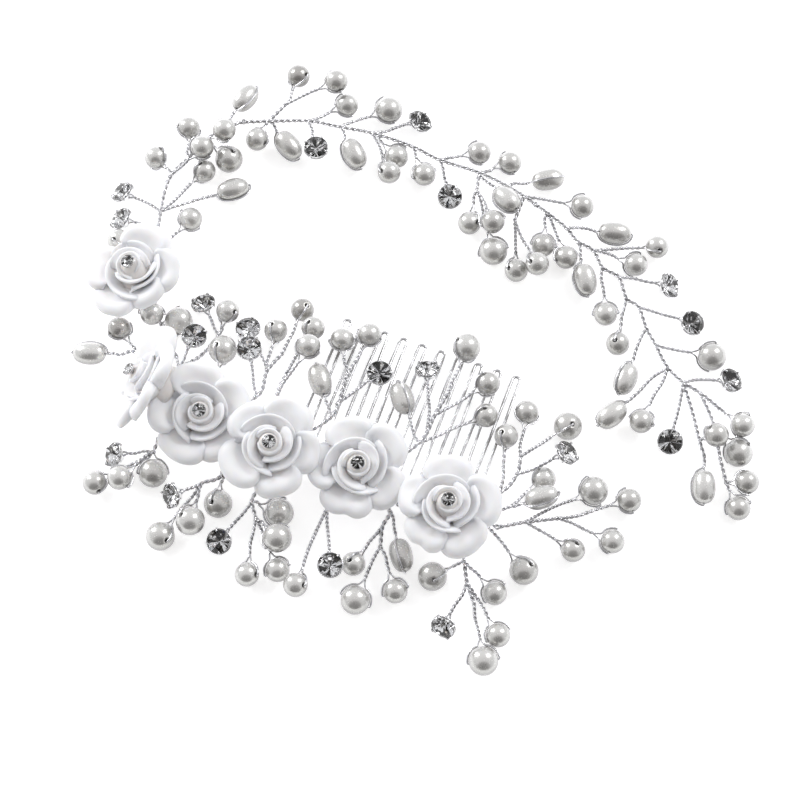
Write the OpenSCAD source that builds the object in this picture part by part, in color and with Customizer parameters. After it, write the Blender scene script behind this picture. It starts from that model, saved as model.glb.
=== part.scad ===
// Bridal hair comb: ten hairpin teeth on a bound spine, six clay roses, and wire sprays
// and a long curved vine that carry pearls and claw-set crystals.
// Origin: middle of the comb's spine. +X along the spine, +Y along the teeth to their tips,
// +Z out of the flowers. Millimetres.

/* [Comb] */
// Number of hairpin teeth
tooth_count = 10; // [6:1:10]
// Spacing of the teeth
tooth_pitch = 4.2; // [3.8:0.1:4.4]
// Length of a tooth from the spine to its tip
tooth_length = 35; // [25:1:38]
// Wire thickness of a tooth
tooth_wire = 0.8; // [0.6:0.1:1]
// Downward slope of the teeth in degrees
tooth_slope = 4; // [2:0.5:5]
// Thickness of the two spine rods
spine_rod = 1.2; // [1:0.1:1.4]

/* [Beads] */
// Small round pearl diameter
pearl_d = 5; // [4.4:0.1:5.2]
// Large round pearl diameter
large_pearl_d = 6; // [5.4:0.1:6.2]
// Rice pearl width
rice_d = 4.8; // [4.2:0.1:5]
// Rice pearl length
rice_length = 7; // [6:0.2:7.4]
// Diameter of the hole through a pearl
pearl_bore = 0.9; // [0.8:0.1:1.2]
// Crystal diameter
crystal_d = 5.2; // [4.6:0.1:5.4]
// Diameter of the crystal in the middle of a rose
rose_crystal_d = 2.8; // [2.4:0.1:3.2]

/* [Wire] */
// Thickness of the twisted main wires
stem_wire = 0.9; // [0.7:0.1:1]
// Thickness of the twisted twigs
twig_wire = 0.7; // [0.5:0.1:0.8]
// Thickness of the single wire that loops through a pearl
loop_wire = 0.45; // [0.35:0.05:0.5]

/* [Roses] */
// Rose diameter
rose_d = 21; // [18:0.5:22]
// Rose height
rose_h = 10; // [8:0.5:11]
// Number of outer petals
outer_petals = 5; // [4:1:6]
// Petal thickness
petal_wall = 0.9; // [0.7:0.1:1.2]

/* [Hidden] */
$fn = 48;

silver = [0.78, 0.79, 0.81];
pearl_white = [0.93, 0.92, 0.90];
clay_white = [0.97, 0.96, 0.97];
clear = [0.80, 0.86, 0.92];

// gap between a twig's root and the wire that it leaves
root_gap = 0.03;
// half of the gap at a bending place, between the knot and the next wire
knot_gap = 0.4;
knot_d = 1.2;

// --- where the wires run: each line is one wire, point by point ---

crown_lines = [
  [[-50, 14, -1.5], [-48, 11, 1], [-46, 8, 2.2], [-38, 4, 2.2], [-22, 2, 2.2], [-2, 2, 2.2], [16, 2, 2.2],
   [22, 1.5, 2.2], [26, 1, 1]],
  [[-46, 8, 2.2], [-57, 11, 1.5], [-60, 10, 1]],
  [[-48, 11, 1], [-45, 16, -1], [-43, 21, 0]],
  [[-38, 4, 2.2], [-30, 10, 3], [-30, 16, 3], [-28.5, 21, 2.5]],
  [[-22, 2, 2.2], [-26, 11, 3], [-26, 17, 3]],
  [[-22, 2, 2.2], [-14, 11, 3], [-14, 20, 3]],
  [[-2, 2, 2.2], [5, 12, 3], [6, 19, 2.5], [7, 25, 2.5]],
  [[16, 2, 2.2], [24, 8, 1.5], [26, 13, 1], [25.5, 17, 1]],
  [[16, 2, 2.2], [26, 5, 1.5]],
  [[-2, 2, 2.2], [4, -3, 1.5], [4, -7, 1.5], [5, -11, 1]],
  [[-2, 2, 2.2], [-8, -7, 1.5]],
  [[16, 2, 2.2], [20, -5, 1]],
  [[-22, 2, 2.2], [-23, -8, 1]],
  [[-38, 4, 2.2], [-31, -7, 1.5], [-34, -11, 1.5]],
  [[-46, 8, 2.2], [-46, -5, 1]]
];

vine_1_lines = [
  [[-50, 14, -1.5], [-56, 20, -2], [-62, 30, -1], [-64, 39, 1], [-65, 43, 1], [-66, 48, 1],
   [-66, 52, 1], [-64, 57, 1], [-62, 62, 1], [-60, 66, 1], [-56, 69, 1]]
];

vine_2_lines = [
  [[-56, 69, 1], [-51, 71, 1], [-43, 74, 1], [-36, 75, 1], [-29, 76, 1], [-20, 76, 1],
   [-13, 75, 1], [-4, 75, 1], [3, 74, 1], [7, 73, 1], [10, 72, 1]],
  [[-51, 71, 1], [-49, 76, 1]],
  [[-4, 75, 1], [-3, 71, 1]],
  [[7, 73, 1], [7, 67, 1]]
];

vine_3_lines = [
  [[10, 72, 1], [13, 71, 1], [18, 69, 1], [21, 67, 1], [25, 66, 1], [28, 63, 1], [32, 62, 1],
   [35, 58, 1], [38, 57, 1], [41, 53, 1], [44, 50, 1], [48, 46, 1], [52, 44, 1], [56, 43, 1], [61, 41, 1]],
  [[52, 44, 1], [56, 38, 1], [59, 33, 1], [61, 30, 1]],
  [[56, 43, 1], [61, 37, 1], [64, 31, 1], [67, 26, 1]]
];

right_spray_lines = [
  [[26, 1, 1], [31, 4, 1], [37, 7, 1]]
];

lower_right_spray_lines = [
  [[20, -5, 1], [22, -8, 1], [24, -12, 1], [27, -16, 1]]
];

lower_left_spray_lines = [
  [[-23, -8, 1], [-23, -11, 1], [-21, -14, 1]]
];

left_spray_lines = [
  [[-46, -5, 1], [-46, -8, 1]]
];

// what bends on a knot of the crown
bending_lines = [
  vine_1_lines, right_spray_lines, lower_right_spray_lines, lower_left_spray_lines, left_spray_lines
];

// --- the beads: kind, middle of the bead, root of its twig, lean of a crystal's face in degrees ---

crown_beads = [
  ["pearl", [-63, 15, 1], [-57, 11, 1.5]],
  ["rice", [-67, 8, 0], [-60, 10, 1]],
  ["crystal", [-49, 27, 0], [-43, 21, 0], 30],
  ["pearl", [-43, 26.5, 1], [-43, 21, 0]],
  ["crystal", [-47, 18, 4], [-48, 11, 1], 0],
  ["large", [-40.5, 17.5, 2.5], [-38, 4, 2.2]],
  ["crystal", [-38, 25, -0.2], [-30, 16, 3], 15],
  ["crystal", [-35, 19, 5], [-30, 10, 3], 0],
  ["pearl", [-32, 26, 0.5], [-30, 16, 3]],
  ["pearl", [-28.5, 32.5, 0], [-28.5, 21, 2.5]],
  ["pearl", [-24.5, 28.5, 2.5], [-26, 17, 3]],
  ["pearl", [-23.5, 23.5, 5.2], [-26, 11, 3]],
  ["rice", [-19, 18, 3], [-14, 11, 3]],
  ["pearl", [-18, 28.5, 1.5], [-14, 20, 3]],
  ["pearl", [-13, 31.5, 1.5], [-14, 20, 3]],
  ["crystal", [-8, 24, 2.5], [-14, 14, 3], 0],
  ["rice", [-1.5, 20, 3], [5, 12, 3]],
  ["crystal", [1, 28.5, 2], [5.5, 15.5, 2.75], 35],
  ["large", [7, 36, 1], [7, 25, 2.5]],
  ["pearl", [14, 29.5, 2], [6, 19, 2.5]],
  ["pearl", [16, 22.5, 2.5], [5, 12, 3]],
  ["pearl", [21.3, 20, 1.6], [24, 8, 1.5]],
  ["pearl", [23.5, 27, 0], [25.5, 17, 1]],
  ["large", [32.5, 27, 0], [25.5, 17, 1]],
  ["crystal", [34.5, 20.5, 3.5], [26, 13, 1], 40],
  ["pearl", [31.5, 14.5, -0.4], [26, 5, 1.5]],
  ["rice", [32.5, 9.5, 3], [26, 5, 1.5]],
  ["large", [34, -5.5, 0], [22, 1.5, 2.2]],
  ["rice", [9.5, -11, 0], [4, -3, 1.5]],
  ["pearl", [11, -18.5, 0], [5, -11, 1]],
  ["large", [4, -23, 0], [5, -11, 1]],
  ["pearl", [1, -16, 0], [4, -7, 1.5]],
  ["crystal", [-3, -18.5, 3], [-8, -7, 1.5], 0],
  ["pearl", [-8, -25, 3.4], [-8, -7, 1.5]],
  ["large", [-29.5, -13.5, 0], [-31, -7, 1.5]],
  ["large", [-33, -19.5, 2.5], [-34, -11, 1.5]],
  ["large", [-38, -24, 0], [-34, -11, 1.5]],
  ["crystal", [-39, -16, 2.5], [-34, -11, 1.5], 60]
];

vine_1_beads = [
  ["pearl", [-57.5, 20, 2.5], [-62, 30, -1]],
  ["large", [-52, 21, 0.5], [-56, 20, -2]],
  ["crystal", [-75, 45, 0], [-65, 43, 1], 45],
  ["crystal", [-73, 39, 0], [-64, 39, 1], 45],
  ["pearl", [-71, 34, 0], [-63, 31, 1]],
  ["pearl", [-71, 55, 0], [-66, 52, 1]],
  ["pearl", [-67, 64, 0], [-64, 57, 1]],
  ["pearl", [-58.5, 44, 0], [-63, 31, 1]],
  ["pearl", [-61.5, 59, 4], [-66, 52, 1]],
  ["pearl", [-60, 55.5, 0], [-65, 43, 1]],
  ["pearl", [-58.5, 64.5, 4], [-62, 62, 1]],
  ["large", [-56, 60, 0], [-62, 62, 1]],
  ["rice", [-52.5, 53.5, 0], [-65, 43, 1]],
  ["rice", [-58, 75, 0], [-60, 66, 1]]
];

vine_2_beads = [
  ["pearl", [-52, 66.5, 0], [-51, 71, 1]],
  ["pearl", [-49, 84, 0], [-49, 76, 1]],
  ["pearl", [-40, 84, 3.5], [-49, 76, 1]],
  ["rice", [-45, 67.5, 0], [-51, 71, 1]],
  ["crystal", [-39, 68.5, 1.5], [-43, 74, 1], 0],
  ["pearl", [-36.5, 81, 0], [-43, 74, 1]],
  ["rice", [-31, 70.5, 0], [-36, 75, 1]],
  ["large", [-27.5, 83, 0], [-36, 75, 1]],
  ["pearl", [-22, 73, 0], [-29, 76, 1]],
  ["pearl", [-22, 68, 2], [-29, 76, 1]],
  ["crystal", [-20, 83, 0], [-29, 76, 1], 30],
  ["pearl", [-15, 71, 0], [-20, 76, 1]],
  ["crystal", [-8, 68, 0], [-13, 75, 1], 20],
  ["pearl", [-5.5, 80, 0], [-13, 75, 1]],
  ["pearl", [1.5, 80, 0], [-4, 75, 1]],
  ["rice", [4, 70.2, 3], [-4, 75, 1]],
  ["pearl", [-2, 63.5, 0], [-3, 71, 1]],
  ["pearl", [3, 64, 3.5], [-3, 71, 1]],
  ["large", [5, 59, 0], [-3, 71, 1]],
  ["rice", [10.5, 79, 0], [3, 74, 1]],
  ["pearl", [19.5, 75.5, 0], [7, 73, 1]],
  ["pearl", [11, 56.5, 0], [7, 67, 1]],
  ["pearl", [15, 58, 3.5], [7, 67, 1]]
];

vine_3_beads = [
  ["pearl", [14.5, 64, 0], [13, 71, 1]],
  ["pearl", [20, 63, 0], [13, 71, 1]],
  ["rice", [28, 72, 0], [18, 69, 1]],
  ["rice", [25.5, 59.5, 0], [21, 67, 1]],
  ["pearl", [37.5, 72, 0], [25, 66, 1]],
  ["pearl", [34.5, 66.5, 0], [25, 66, 1]],
  ["crystal", [43, 64.5, 0], [32, 62, 1], 45],
  ["pearl", [32, 53.5, 0], [28, 63, 1]],
  ["crystal", [50, 58, 0], [38, 57, 1], 20],
  ["pearl", [36.5, 48, 0], [35, 58, 1]],
  ["large", [56, 52, 0], [44, 50, 1]],
  ["crystal", [61.5, 48.5, 0], [52, 44, 1], 30],
  ["rice", [40.5, 41, 0], [41, 53, 1]],
  ["rice", [40.3, 32.5, 0], [48, 46, 1]],
  ["pearl", [46.5, 33, 0.5], [48, 46, 1]],
  ["crystal", [53.5, 31, 0], [52, 44, 1], 20],
  ["pearl", [62, 34, 4.5], [59, 33, 1]],
  ["pearl", [66.5, 38.5, 3], [61, 41, 1]],
  ["large", [67.5, 33.5, 0], [61, 37, 1]],
  ["pearl", [71, 28, 0], [67, 26, 1]],
  ["pearl", [71, 22, 0], [67, 26, 1]],
  ["rice", [63, 24, 0], [61, 30, 1]]
];

right_spray_beads = [
  ["large", [42, 15.5, 0], [31, 4, 1]],
  ["pearl", [49.5, 16, 0], [37, 7, 1]],
  ["pearl", [49, 6.5, 0], [37, 7, 1]],
  ["pearl", [42, 2, 0], [31, 4, 1]]
];

lower_right_spray_beads = [
  ["pearl", [30, -12, 0], [22, -8, 1]],
  ["pearl", [33.5, -20, 0], [24, -12, 1]],
  ["large", [32.5, -26, 0], [27, -16, 1]],
  ["crystal", [22.5, -22.5, 0], [24, -12, 1], 60],
  ["large", [17, -13, 0], [22, -8, 1]]
];

lower_left_spray_beads = [
  ["large", [-17, -11, 0], [-23, -11, 1]],
  ["large", [-15, -17, 3.2], [-21, -14, 1]],
  ["pearl", [-13, -22.5, 0], [-21, -14, 1]],
  ["pearl", [-18.5, -25.5, 0], [-21, -14, 1]],
  ["crystal", [-26.5, -21, 0], [-23, -11, 1], 20]
];

left_spray_beads = [
  ["large", [-44.5, -12, 0], [-46, -8, 1]],
  ["pearl", [-50, -16, 2.8], [-46, -8, 1]],
  ["pearl", [-55, -18, 0], [-46, -8, 1]],
  ["crystal", [-54, -11, 0], [-46, -8, 1], 50]
];

// --- roses: middle of the base, lean in degrees, direction of the lean, turn about its own axis ---

rose_1_place = [[-62.5, 26.5, 1.7], 12, 190, 20];
rose_2_place = [[-47, 4, 5.5], 58, 178, 40];
rose_3_place = [[-38.5, 1.5, 3.2], 8, -70, 5];
rose_4_place = [[-22.5, -0.5, 5], 8, -70, 30];
rose_5_place = [[-4.5, 2, 3], 8, -70, 65];
rose_6_place = [[15.5, 0, 3.5], 3, -70, 50];
bud_h = rose_h * 0.88;
comb_roses = [rose_2_place, rose_3_place, rose_4_place, rose_5_place, rose_6_place];

// --- helpers ---

function bearing(a, b) = atan2(b[1] - a[1], b[0] - a[0]);
function climb(a, b) = atan2(b[2] - a[2], norm([b[0] - a[0], b[1] - a[1]]));
function unit(v) = v / norm(v);
function bead_radius(kind) =
  kind == "pearl" ? pearl_d / 2 :
  kind == "large" ? large_pearl_d / 2 :
  kind == "rice" ? rice_length / 2 : crystal_d / 2;

// sets something at a, with its +Z towards b
module aim(a, b) {
  translate(a) rotate([0, 90 - climb(a, b), bearing(a, b)]) children();
}

// straight wire from a to b
module rod(a, b, d) {
  aim(a, b) cylinder(d = d, h = norm(b - a));
}

// one wire through a list of points, with a ball at each bend
module wire_line(points, d, first, spare) {
  last = len(points) - 1;
  inset = d * 0.25;
  for (i = [0 : last - 1]) {
    way = unit(points[i + 1] - points[i]);
    start = points[i] + way * (i == 0 ? first : inset);
    rod(start, points[i + 1] - way * (i == last - 1 ? spare : inset), d);
  }
  for (i = [1 : 1 : last - 1]) {
    turn = unit(points[i + 1] - points[i]) - unit(points[i - 1] - points[i]);
    aim(points[i], points[i] + turn) rotate([0, 0, 90]) sphere(d = d * 1.25);
  }
}

// directions in which the wires leave a place
function ways_from(lines, place) = [
  for (line = lines) for (i = [0 : len(line) - 1]) if (norm(line[i] - place) < 0.01)
    for (j = [i - 1, i + 1]) if (j >= 0 && j < len(line)) unit(line[j] - place)
];

// how far from its root a wire of radius r starts, to stay clear of the other wires there
function clear_start(way, others, r) = max([
  stem_wire * 0.625 + root_gap,
  for (other = others) let (c = way * other) if (norm(way - other) > 0.02 && c > 0)
    (stem_wire / 2 + root_gap + r * c) / sqrt(1 - c * c)
]);

// the wires of one branch: each starts clear of the wires or the knot that it leaves
module branch(lines, knots) {
  for (line = lines) {
    last = len(line) - 1;
    way = unit(line[1] - line[0]);
    first = line == lines[0] ? knot_d / 2 + knot_gap
      : clear_start(way, ways_from(lines, line[0]), stem_wire / 2);
    bound = len([for (place = knots) if (norm(place - line[last]) < 0.01) place]) > 0;
    wire_line(line, stem_wire, first, bound ? knot_d * 0.75 : 0);
  }
}

// short upright barrel on which the next wire bends
module knot(place) {
  translate(place) cylinder(d = knot_d, h = knot_d, center = true);
}

// wire loop that hugs half of a round pearl and passes through its bore. The twig comes from -X.
module pearl_loop(d) {
  hug = d / 2 + loop_wire / 2 + 0.1;
  over = 8;
  rotate([0, 0, 90 - over]) rotate_extrude(angle = 180 + 2 * over)
    translate([hug, 0]) circle(d = loop_wire);
  rotate([90, 0, 0]) cylinder(d = loop_wire * 0.8, h = 2 * hug, center = true);
}

// wire through the length of a rice pearl, with a small end ball
module rice_pin() {
  reach = rice_length / 2 + 0.3;
  translate([-reach, 0, 0]) rotate([0, 90, 0]) cylinder(d = loop_wire, h = 2 * reach);
  translate([reach, 0, 0]) sphere(d = loop_wire * 2);
}

// where a twig meets its bead: distance from the bead's middle
function twig_stop(kind) =
  kind == "rice" ? rice_length / 2 + 0.2 :
  kind == "crystal" ? crystal_d / 2 + 0.1 : bead_radius(kind) + loop_wire / 2;

// twig with its loop, from the wires that it leaves to its bead
module twig(bead, others) {
  place = bead[1];
  root = bead[2];
  way = unit(place - root);
  stop = place - way * twig_stop(bead[0]);
  rod(root + way * clear_start(way, others, twig_wire / 2), stop, twig_wire);
  translate(place) rotate([0, -climb(root, place), bearing(root, place)]) {
    if (bead[0] == "rice") {
      rice_pin();
    }
    if (bead[0] == "pearl" || bead[0] == "large") {
      pearl_loop(2 * bead_radius(bead[0]));
    }
  }
}

module twigs(beads, lines) {
  for (bead = beads) {
    twig(bead, concat(
      ways_from(lines, bead[2]),
      [for (other = beads) if (norm(other[2] - bead[2]) < 0.01) unit(other[1] - other[2])]
    ));
  }
}

// round pearl with its bore across the twig
module round_pearl(d) {
  difference() {
    sphere(d = d);
    rotate([90, 0, 0]) cylinder(d = pearl_bore, h = d + 1, center = true);
  }
}

// rice pearl with its bore along the twig
module rice_pearl() {
  end_r = rice_d * 0.4;
  shift = rice_length / 2 - end_r;
  slack = rice_d / 2 - end_r;
  side = (shift * shift - slack * slack) / (2 * slack);
  rotate([0, 90, 0]) difference() {
    rotate_extrude() intersection() {
      union() {
        intersection() {
          translate([-side, 0]) circle(r = side + rice_d / 2);
          square([rice_d, 2 * shift * (side + rice_d / 2) / (side + slack)], center = true);
        }
        for (y = [-shift, shift]) {
          translate([0, y]) circle(r = end_r);
        }
      }
      translate([0, -rice_length]) square([rice_d, 2 * rice_length]);
    }
    cylinder(d = pearl_bore, h = rice_length + 1, center = true);
  }
}

module beads_of(beads, kind) {
  for (bead = beads) {
    if (bead[0] == kind) {
      root = bead[2];
      place = bead[1];
      translate(place) rotate([0, -climb(root, place), bearing(root, place)]) {
        if (kind == "rice") {
          rice_pearl();
        } else {
          round_pearl(2 * bead_radius(kind));
        }
      }
    }
  }
}

// cut stone: table on top, pointed below, girdle at z = 0
module stone(d) {
  rotate([0, 0, 22.5]) {
    cylinder(d1 = d, d2 = d * 0.55, h = d * 0.2, $fn = 8);
    translate([0, 0, -d * 0.08]) cylinder(d = d, h = d * 0.08, $fn = 8);
    translate([0, 0, -d * 0.43]) cylinder(d1 = d * 0.2, d2 = d, h = d * 0.35, $fn = 8);
  }
}

// claw cup around a stone of diameter d: ring, open basket and four claws
module claw_cup(d) {
  ring = d * 1.04;
  translate([0, 0, -d * 0.46]) difference() {
    cylinder(d1 = d * 0.5, d2 = ring, h = d * 0.3);
    translate([0, 0, d * 0.04]) cylinder(d1 = d * 0.4, d2 = ring - 0.1, h = d * 0.3);
  }
  for (a = [45 : 90 : 360]) {
    rotate([0, 0, a]) translate([ring / 2 + 0.02, 0, -d * 0.24]) cylinder(d = d * 0.11, h = d * 0.34);
    rotate([0, 0, a]) translate([ring / 2 - 0.02, 0, d * 0.1]) sphere(d = d * 0.15);
  }
}

// a crystal leans towards its twig's far end
module crystals_of(beads, part) {
  for (bead = beads) {
    if (bead[0] == "crystal") {
      translate(bead[1]) rotate([0, bead[3], bearing(bead[2], bead[1])]) {
        if (part == "stone") {
          stone(crystal_d * 0.94);
        } else {
          claw_cup(crystal_d * 0.94);
        }
      }
    }
  }
}

// --- petals: u runs across, v from the base to the rim ---

function petal_middle(u, v, reach, rise, spread, curl) =
  let (
    r = 1.5 + (reach * (1 - 0.1 * u * u) - 1.5) * sin(v * 100) / sin(100),
    a = u * spread * (1 - 0.35 * v * v * v),
    z = rise * sin(v * curl) / sin(min(curl, 90)) + 0.4 * u - 0.8 * u * u * v
  )
  [r * cos(a), r * sin(a), z];

function petal_facing(u, v, reach, rise, spread, curl) =
  let (
    e = 0.02,
    across = petal_middle(u + e, v, reach, rise, spread, curl)
      - petal_middle(u - e, v, reach, rise, spread, curl),
    along = petal_middle(u, v + e, reach, rise, spread, curl)
      - petal_middle(u, v - e, reach, rise, spread, curl)
  )
  unit(cross(along, across));

module petal(reach, rise, spread, curl, wide, long) {
  us = [for (i = [0 : wide]) 2 * i / wide - 1];
  vs = [for (j = [0 : long]) 0.06 + 0.94 * j / long];
  row = wide + 1;
  count = row * (long + 1);
  sheet = [for (side = [1, -1]) for (v = vs) for (u = us)
    petal_middle(u, v, reach, rise, spread, curl)
    + side * petal_wall / 2 * (1 - 0.4 * v * v) * petal_facing(u, v, reach, rise, spread, curl)];
  rim = concat(
    [for (i = [0 : wide]) i],
    [for (j = [1 : long]) j * row + wide],
    [for (i = [1 : wide]) count - 1 - i],
    [for (j = [1 : long - 1]) (long - j) * row]
  );
  turns = len(rim);
  cells = [for (j = [0 : long - 1]) for (i = [0 : wide - 1]) j * row + i];
  faces = concat(
    [for (k = cells) [k, k + 1, k + row]],
    [for (k = cells) [k + 1, k + row + 1, k + row]],
    [for (k = cells) [k + count, k + count + row, k + count + 1]],
    [for (k = cells) [k + count + 1, k + count + row, k + count + row + 1]],
    [for (k = [0 : turns - 1]) [rim[k], rim[k] + count, rim[(k + 1) % turns]]],
    [for (k = [0 : turns - 1]) [rim[(k + 1) % turns], rim[k] + count, rim[(k + 1) % turns] + count]]
  );
  polyhedron(points = sheet, faces = faces);
}

module ring_of_petals(n, turn, reach, rise, spread, curl, wide, long) {
  for (i = [0 : n - 1]) {
    rotate([0, 0, turn + i * 360 / n]) petal(reach, rise, spread, curl, wide, long);
  }
}

// clay rose on its own base, open spiral towards the middle
module rose(turn) {
  reach = rose_d / 2;
  resize([rose_d, 0, 0], auto = [true, true, false]) rotate([0, 0, turn]) {
    ring_of_petals(outer_petals, 0, reach, rose_h * 0.56, 240 / outer_petals, 128, 5, 5);
    ring_of_petals(3, 25, reach * 0.66, rose_h * 0.84, 76, 106, 5, 4);
    ring_of_petals(2, 60, reach * 0.42, rose_h * 0.97, 105, 95, 5, 3);
    cylinder(r1 = reach * 0.22, r2 = reach * 0.5, h = rose_h * 0.36, $fn = 20);
    cylinder(r1 = reach * 0.3, r2 = reach * 0.2, h = bud_h, $fn = 20);
  }
}

module at_rose(place) {
  translate(place[0]) rotate([0, 0, place[2]]) rotate([0, place[1], 0]) rotate([0, 0, -place[2]]) children();
}

module rose_at(place) {
  at_rose(place) rose(place[3]);
}

module rose_setting(place, part) {
  at_rose(place) translate([0, 0, bud_h + rose_crystal_d * 0.44]) {
    if (part == "stone") {
      stone(rose_crystal_d * 0.94);
    } else {
      claw_cup(rose_crystal_d * 0.94);
    }
  }
}

// --- comb ---

function tooth_x(i) = (i - (tooth_count - 1) / 2) * tooth_pitch;
spine_length = (tooth_count - 1) * tooth_pitch + 5;

// hairpin: two legs that close towards the tip, and the bend that joins them
module tooth() {
  bend = tooth_pitch * 0.18;
  foot = tooth_pitch * 0.27;
  knee = tooth_length - bend - tooth_wire / 2;
  rotate([-tooth_slope, 0, 0]) {
    for (side = [-1, 1]) {
      rod([side * foot, -1.5, 0], [side * bend, knee, 0], tooth_wire);
      translate([side * bend, knee, 0]) sphere(d = tooth_wire * 1.1);
    }
    translate([0, knee, 0]) rotate_extrude(angle = 180) translate([bend, 0]) circle(d = tooth_wire);
  }
}

module comb_teeth() {
  color(silver) for (i = [0 : tooth_count - 1]) {
    translate([tooth_x(i), 0, 0]) tooth();
  }
}

module comb_spine() {
  lift = (tooth_wire + spine_rod) / 2 + 0.12;
  color(silver) for (side = [-1, 1]) {
    translate([0, 0, side * lift]) rotate([0, 90, 0])
      cylinder(d = spine_rod, h = spine_length, center = true);
    for (end = [-1, 1]) {
      translate([end * spine_length / 2, 0, side * lift]) sphere(d = spine_rod * 1.05);
    }
  }
}

// wire rings that bind the two rods between the teeth
module spine_binding() {
  reach = tooth_wire / 2 + spine_rod + 0.55;
  color(silver) for (i = [0 : tooth_count - 2]) {
    translate([tooth_x(i) + tooth_pitch / 2, 0, 0]) rotate([0, 90, 0]) difference() {
      cylinder(d = 2 * reach, h = 0.9, center = true);
      cylinder(d = 2 * reach - 0.7, h = 2, center = true);
    }
  }
}

// --- crown: what stands still on the comb ---

module crown_stems() {
  knots = [for (lines = bending_lines) lines[0][0]];
  color(silver) {
    branch(crown_lines, knots);
    for (place = knots) {
      knot(place);
    }
  }
}

module crown_twigs() {
  color(silver) twigs(crown_beads, crown_lines);
}

module crown_pearls() {
  color(pearl_white) beads_of(crown_beads, "pearl");
}

module crown_large_pearls() {
  color(pearl_white) beads_of(crown_beads, "large");
}

module crown_rice_pearls() {
  color(pearl_white) beads_of(crown_beads, "rice");
}

module crown_crystals() {
  color(clear) crystals_of(crown_beads, "stone");
}

module crown_cups() {
  color(silver) crystals_of(crown_beads, "cup");
}

module rose_1() {
  color(clay_white) rose_at(rose_1_place);
}

module rose_1_crystal() {
  color(clear) rose_setting(rose_1_place, "stone");
}

module rose_1_cup() {
  color(silver) rose_setting(rose_1_place, "cup");
}

module rose_2() {
  color(clay_white) rose_at(rose_2_place);
}

module rose_3() {
  color(clay_white) rose_at(rose_3_place);
}

module rose_4() {
  color(clay_white) rose_at(rose_4_place);
}

module rose_5() {
  color(clay_white) rose_at(rose_5_place);
}

module rose_6() {
  color(clay_white) rose_at(rose_6_place);
}

module rose_crystals() {
  color(clear) for (place = comb_roses) {
    rose_setting(place, "stone");
  }
}

module rose_cups() {
  color(silver) for (place = comb_roses) {
    rose_setting(place, "cup");
  }
}

// --- vine, in three lengths that bend on their knots ---

module vine_1_stem() {
  color(silver) {
    branch(vine_1_lines, [vine_2_lines[0][0]]);
    knot(vine_2_lines[0][0]);
  }
}

module vine_1_twigs() {
  color(silver) twigs(vine_1_beads, vine_1_lines);
}

module vine_1_pearls() {
  color(pearl_white) beads_of(vine_1_beads, "pearl");
}

module vine_1_large_pearls() {
  color(pearl_white) beads_of(vine_1_beads, "large");
}

module vine_1_rice_pearls() {
  color(pearl_white) beads_of(vine_1_beads, "rice");
}

module vine_1_crystals() {
  color(clear) crystals_of(vine_1_beads, "stone");
}

module vine_1_cups() {
  color(silver) crystals_of(vine_1_beads, "cup");
}

module vine_2_stem() {
  color(silver) {
    branch(vine_2_lines, [vine_3_lines[0][0]]);
    knot(vine_3_lines[0][0]);
  }
}

module vine_2_twigs() {
  color(silver) twigs(vine_2_beads, vine_2_lines);
}

module vine_2_pearls() {
  color(pearl_white) beads_of(vine_2_beads, "pearl");
}

module vine_2_large_pearls() {
  color(pearl_white) beads_of(vine_2_beads, "large");
}

module vine_2_rice_pearls() {
  color(pearl_white) beads_of(vine_2_beads, "rice");
}

module vine_2_crystals() {
  color(clear) crystals_of(vine_2_beads, "stone");
}

module vine_2_cups() {
  color(silver) crystals_of(vine_2_beads, "cup");
}

module vine_3_stem() {
  color(silver) branch(vine_3_lines, []);
}

module vine_3_twigs() {
  color(silver) twigs(vine_3_beads, vine_3_lines);
}

module vine_3_pearls() {
  color(pearl_white) beads_of(vine_3_beads, "pearl");
}

module vine_3_large_pearls() {
  color(pearl_white) beads_of(vine_3_beads, "large");
}

module vine_3_rice_pearls() {
  color(pearl_white) beads_of(vine_3_beads, "rice");
}

module vine_3_crystals() {
  color(clear) crystals_of(vine_3_beads, "stone");
}

module vine_3_cups() {
  color(silver) crystals_of(vine_3_beads, "cup");
}

// --- sprays that bend on their own knots ---

module spray_wires(lines, beads) {
  color(silver) {
    branch(lines, []);
    twigs(beads, lines);
  }
}

module right_spray_wires() {
  spray_wires(right_spray_lines, right_spray_beads);
}

module right_spray_pearls() {
  color(pearl_white) beads_of(right_spray_beads, "pearl");
}

module right_spray_large_pearl() {
  color(pearl_white) beads_of(right_spray_beads, "large");
}

module lower_right_spray_wires() {
  spray_wires(lower_right_spray_lines, lower_right_spray_beads);
}

module lower_right_spray_pearls() {
  color(pearl_white) beads_of(lower_right_spray_beads, "pearl");
}

module lower_right_spray_large_pearls() {
  color(pearl_white) beads_of(lower_right_spray_beads, "large");
}

module lower_right_spray_crystal() {
  color(clear) crystals_of(lower_right_spray_beads, "stone");
}

module lower_right_spray_cup() {
  color(silver) crystals_of(lower_right_spray_beads, "cup");
}

module lower_left_spray_wires() {
  spray_wires(lower_left_spray_lines, lower_left_spray_beads);
}

module lower_left_spray_pearls() {
  color(pearl_white) beads_of(lower_left_spray_beads, "pearl");
}

module lower_left_spray_large_pearls() {
  color(pearl_white) beads_of(lower_left_spray_beads, "large");
}

module lower_left_spray_crystal() {
  color(clear) crystals_of(lower_left_spray_beads, "stone");
}

module lower_left_spray_cup() {
  color(silver) crystals_of(lower_left_spray_beads, "cup");
}

module left_spray_wires() {
  spray_wires(left_spray_lines, left_spray_beads);
}

module left_spray_pearls() {
  color(pearl_white) beads_of(left_spray_beads, "pearl");
}

module left_spray_large_pearl() {
  color(pearl_white) beads_of(left_spray_beads, "large");
}

module left_spray_crystal() {
  color(clear) crystals_of(left_spray_beads, "stone");
}

module left_spray_cup() {
  color(silver) crystals_of(left_spray_beads, "cup");
}

// --- what is drawn ---

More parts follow.
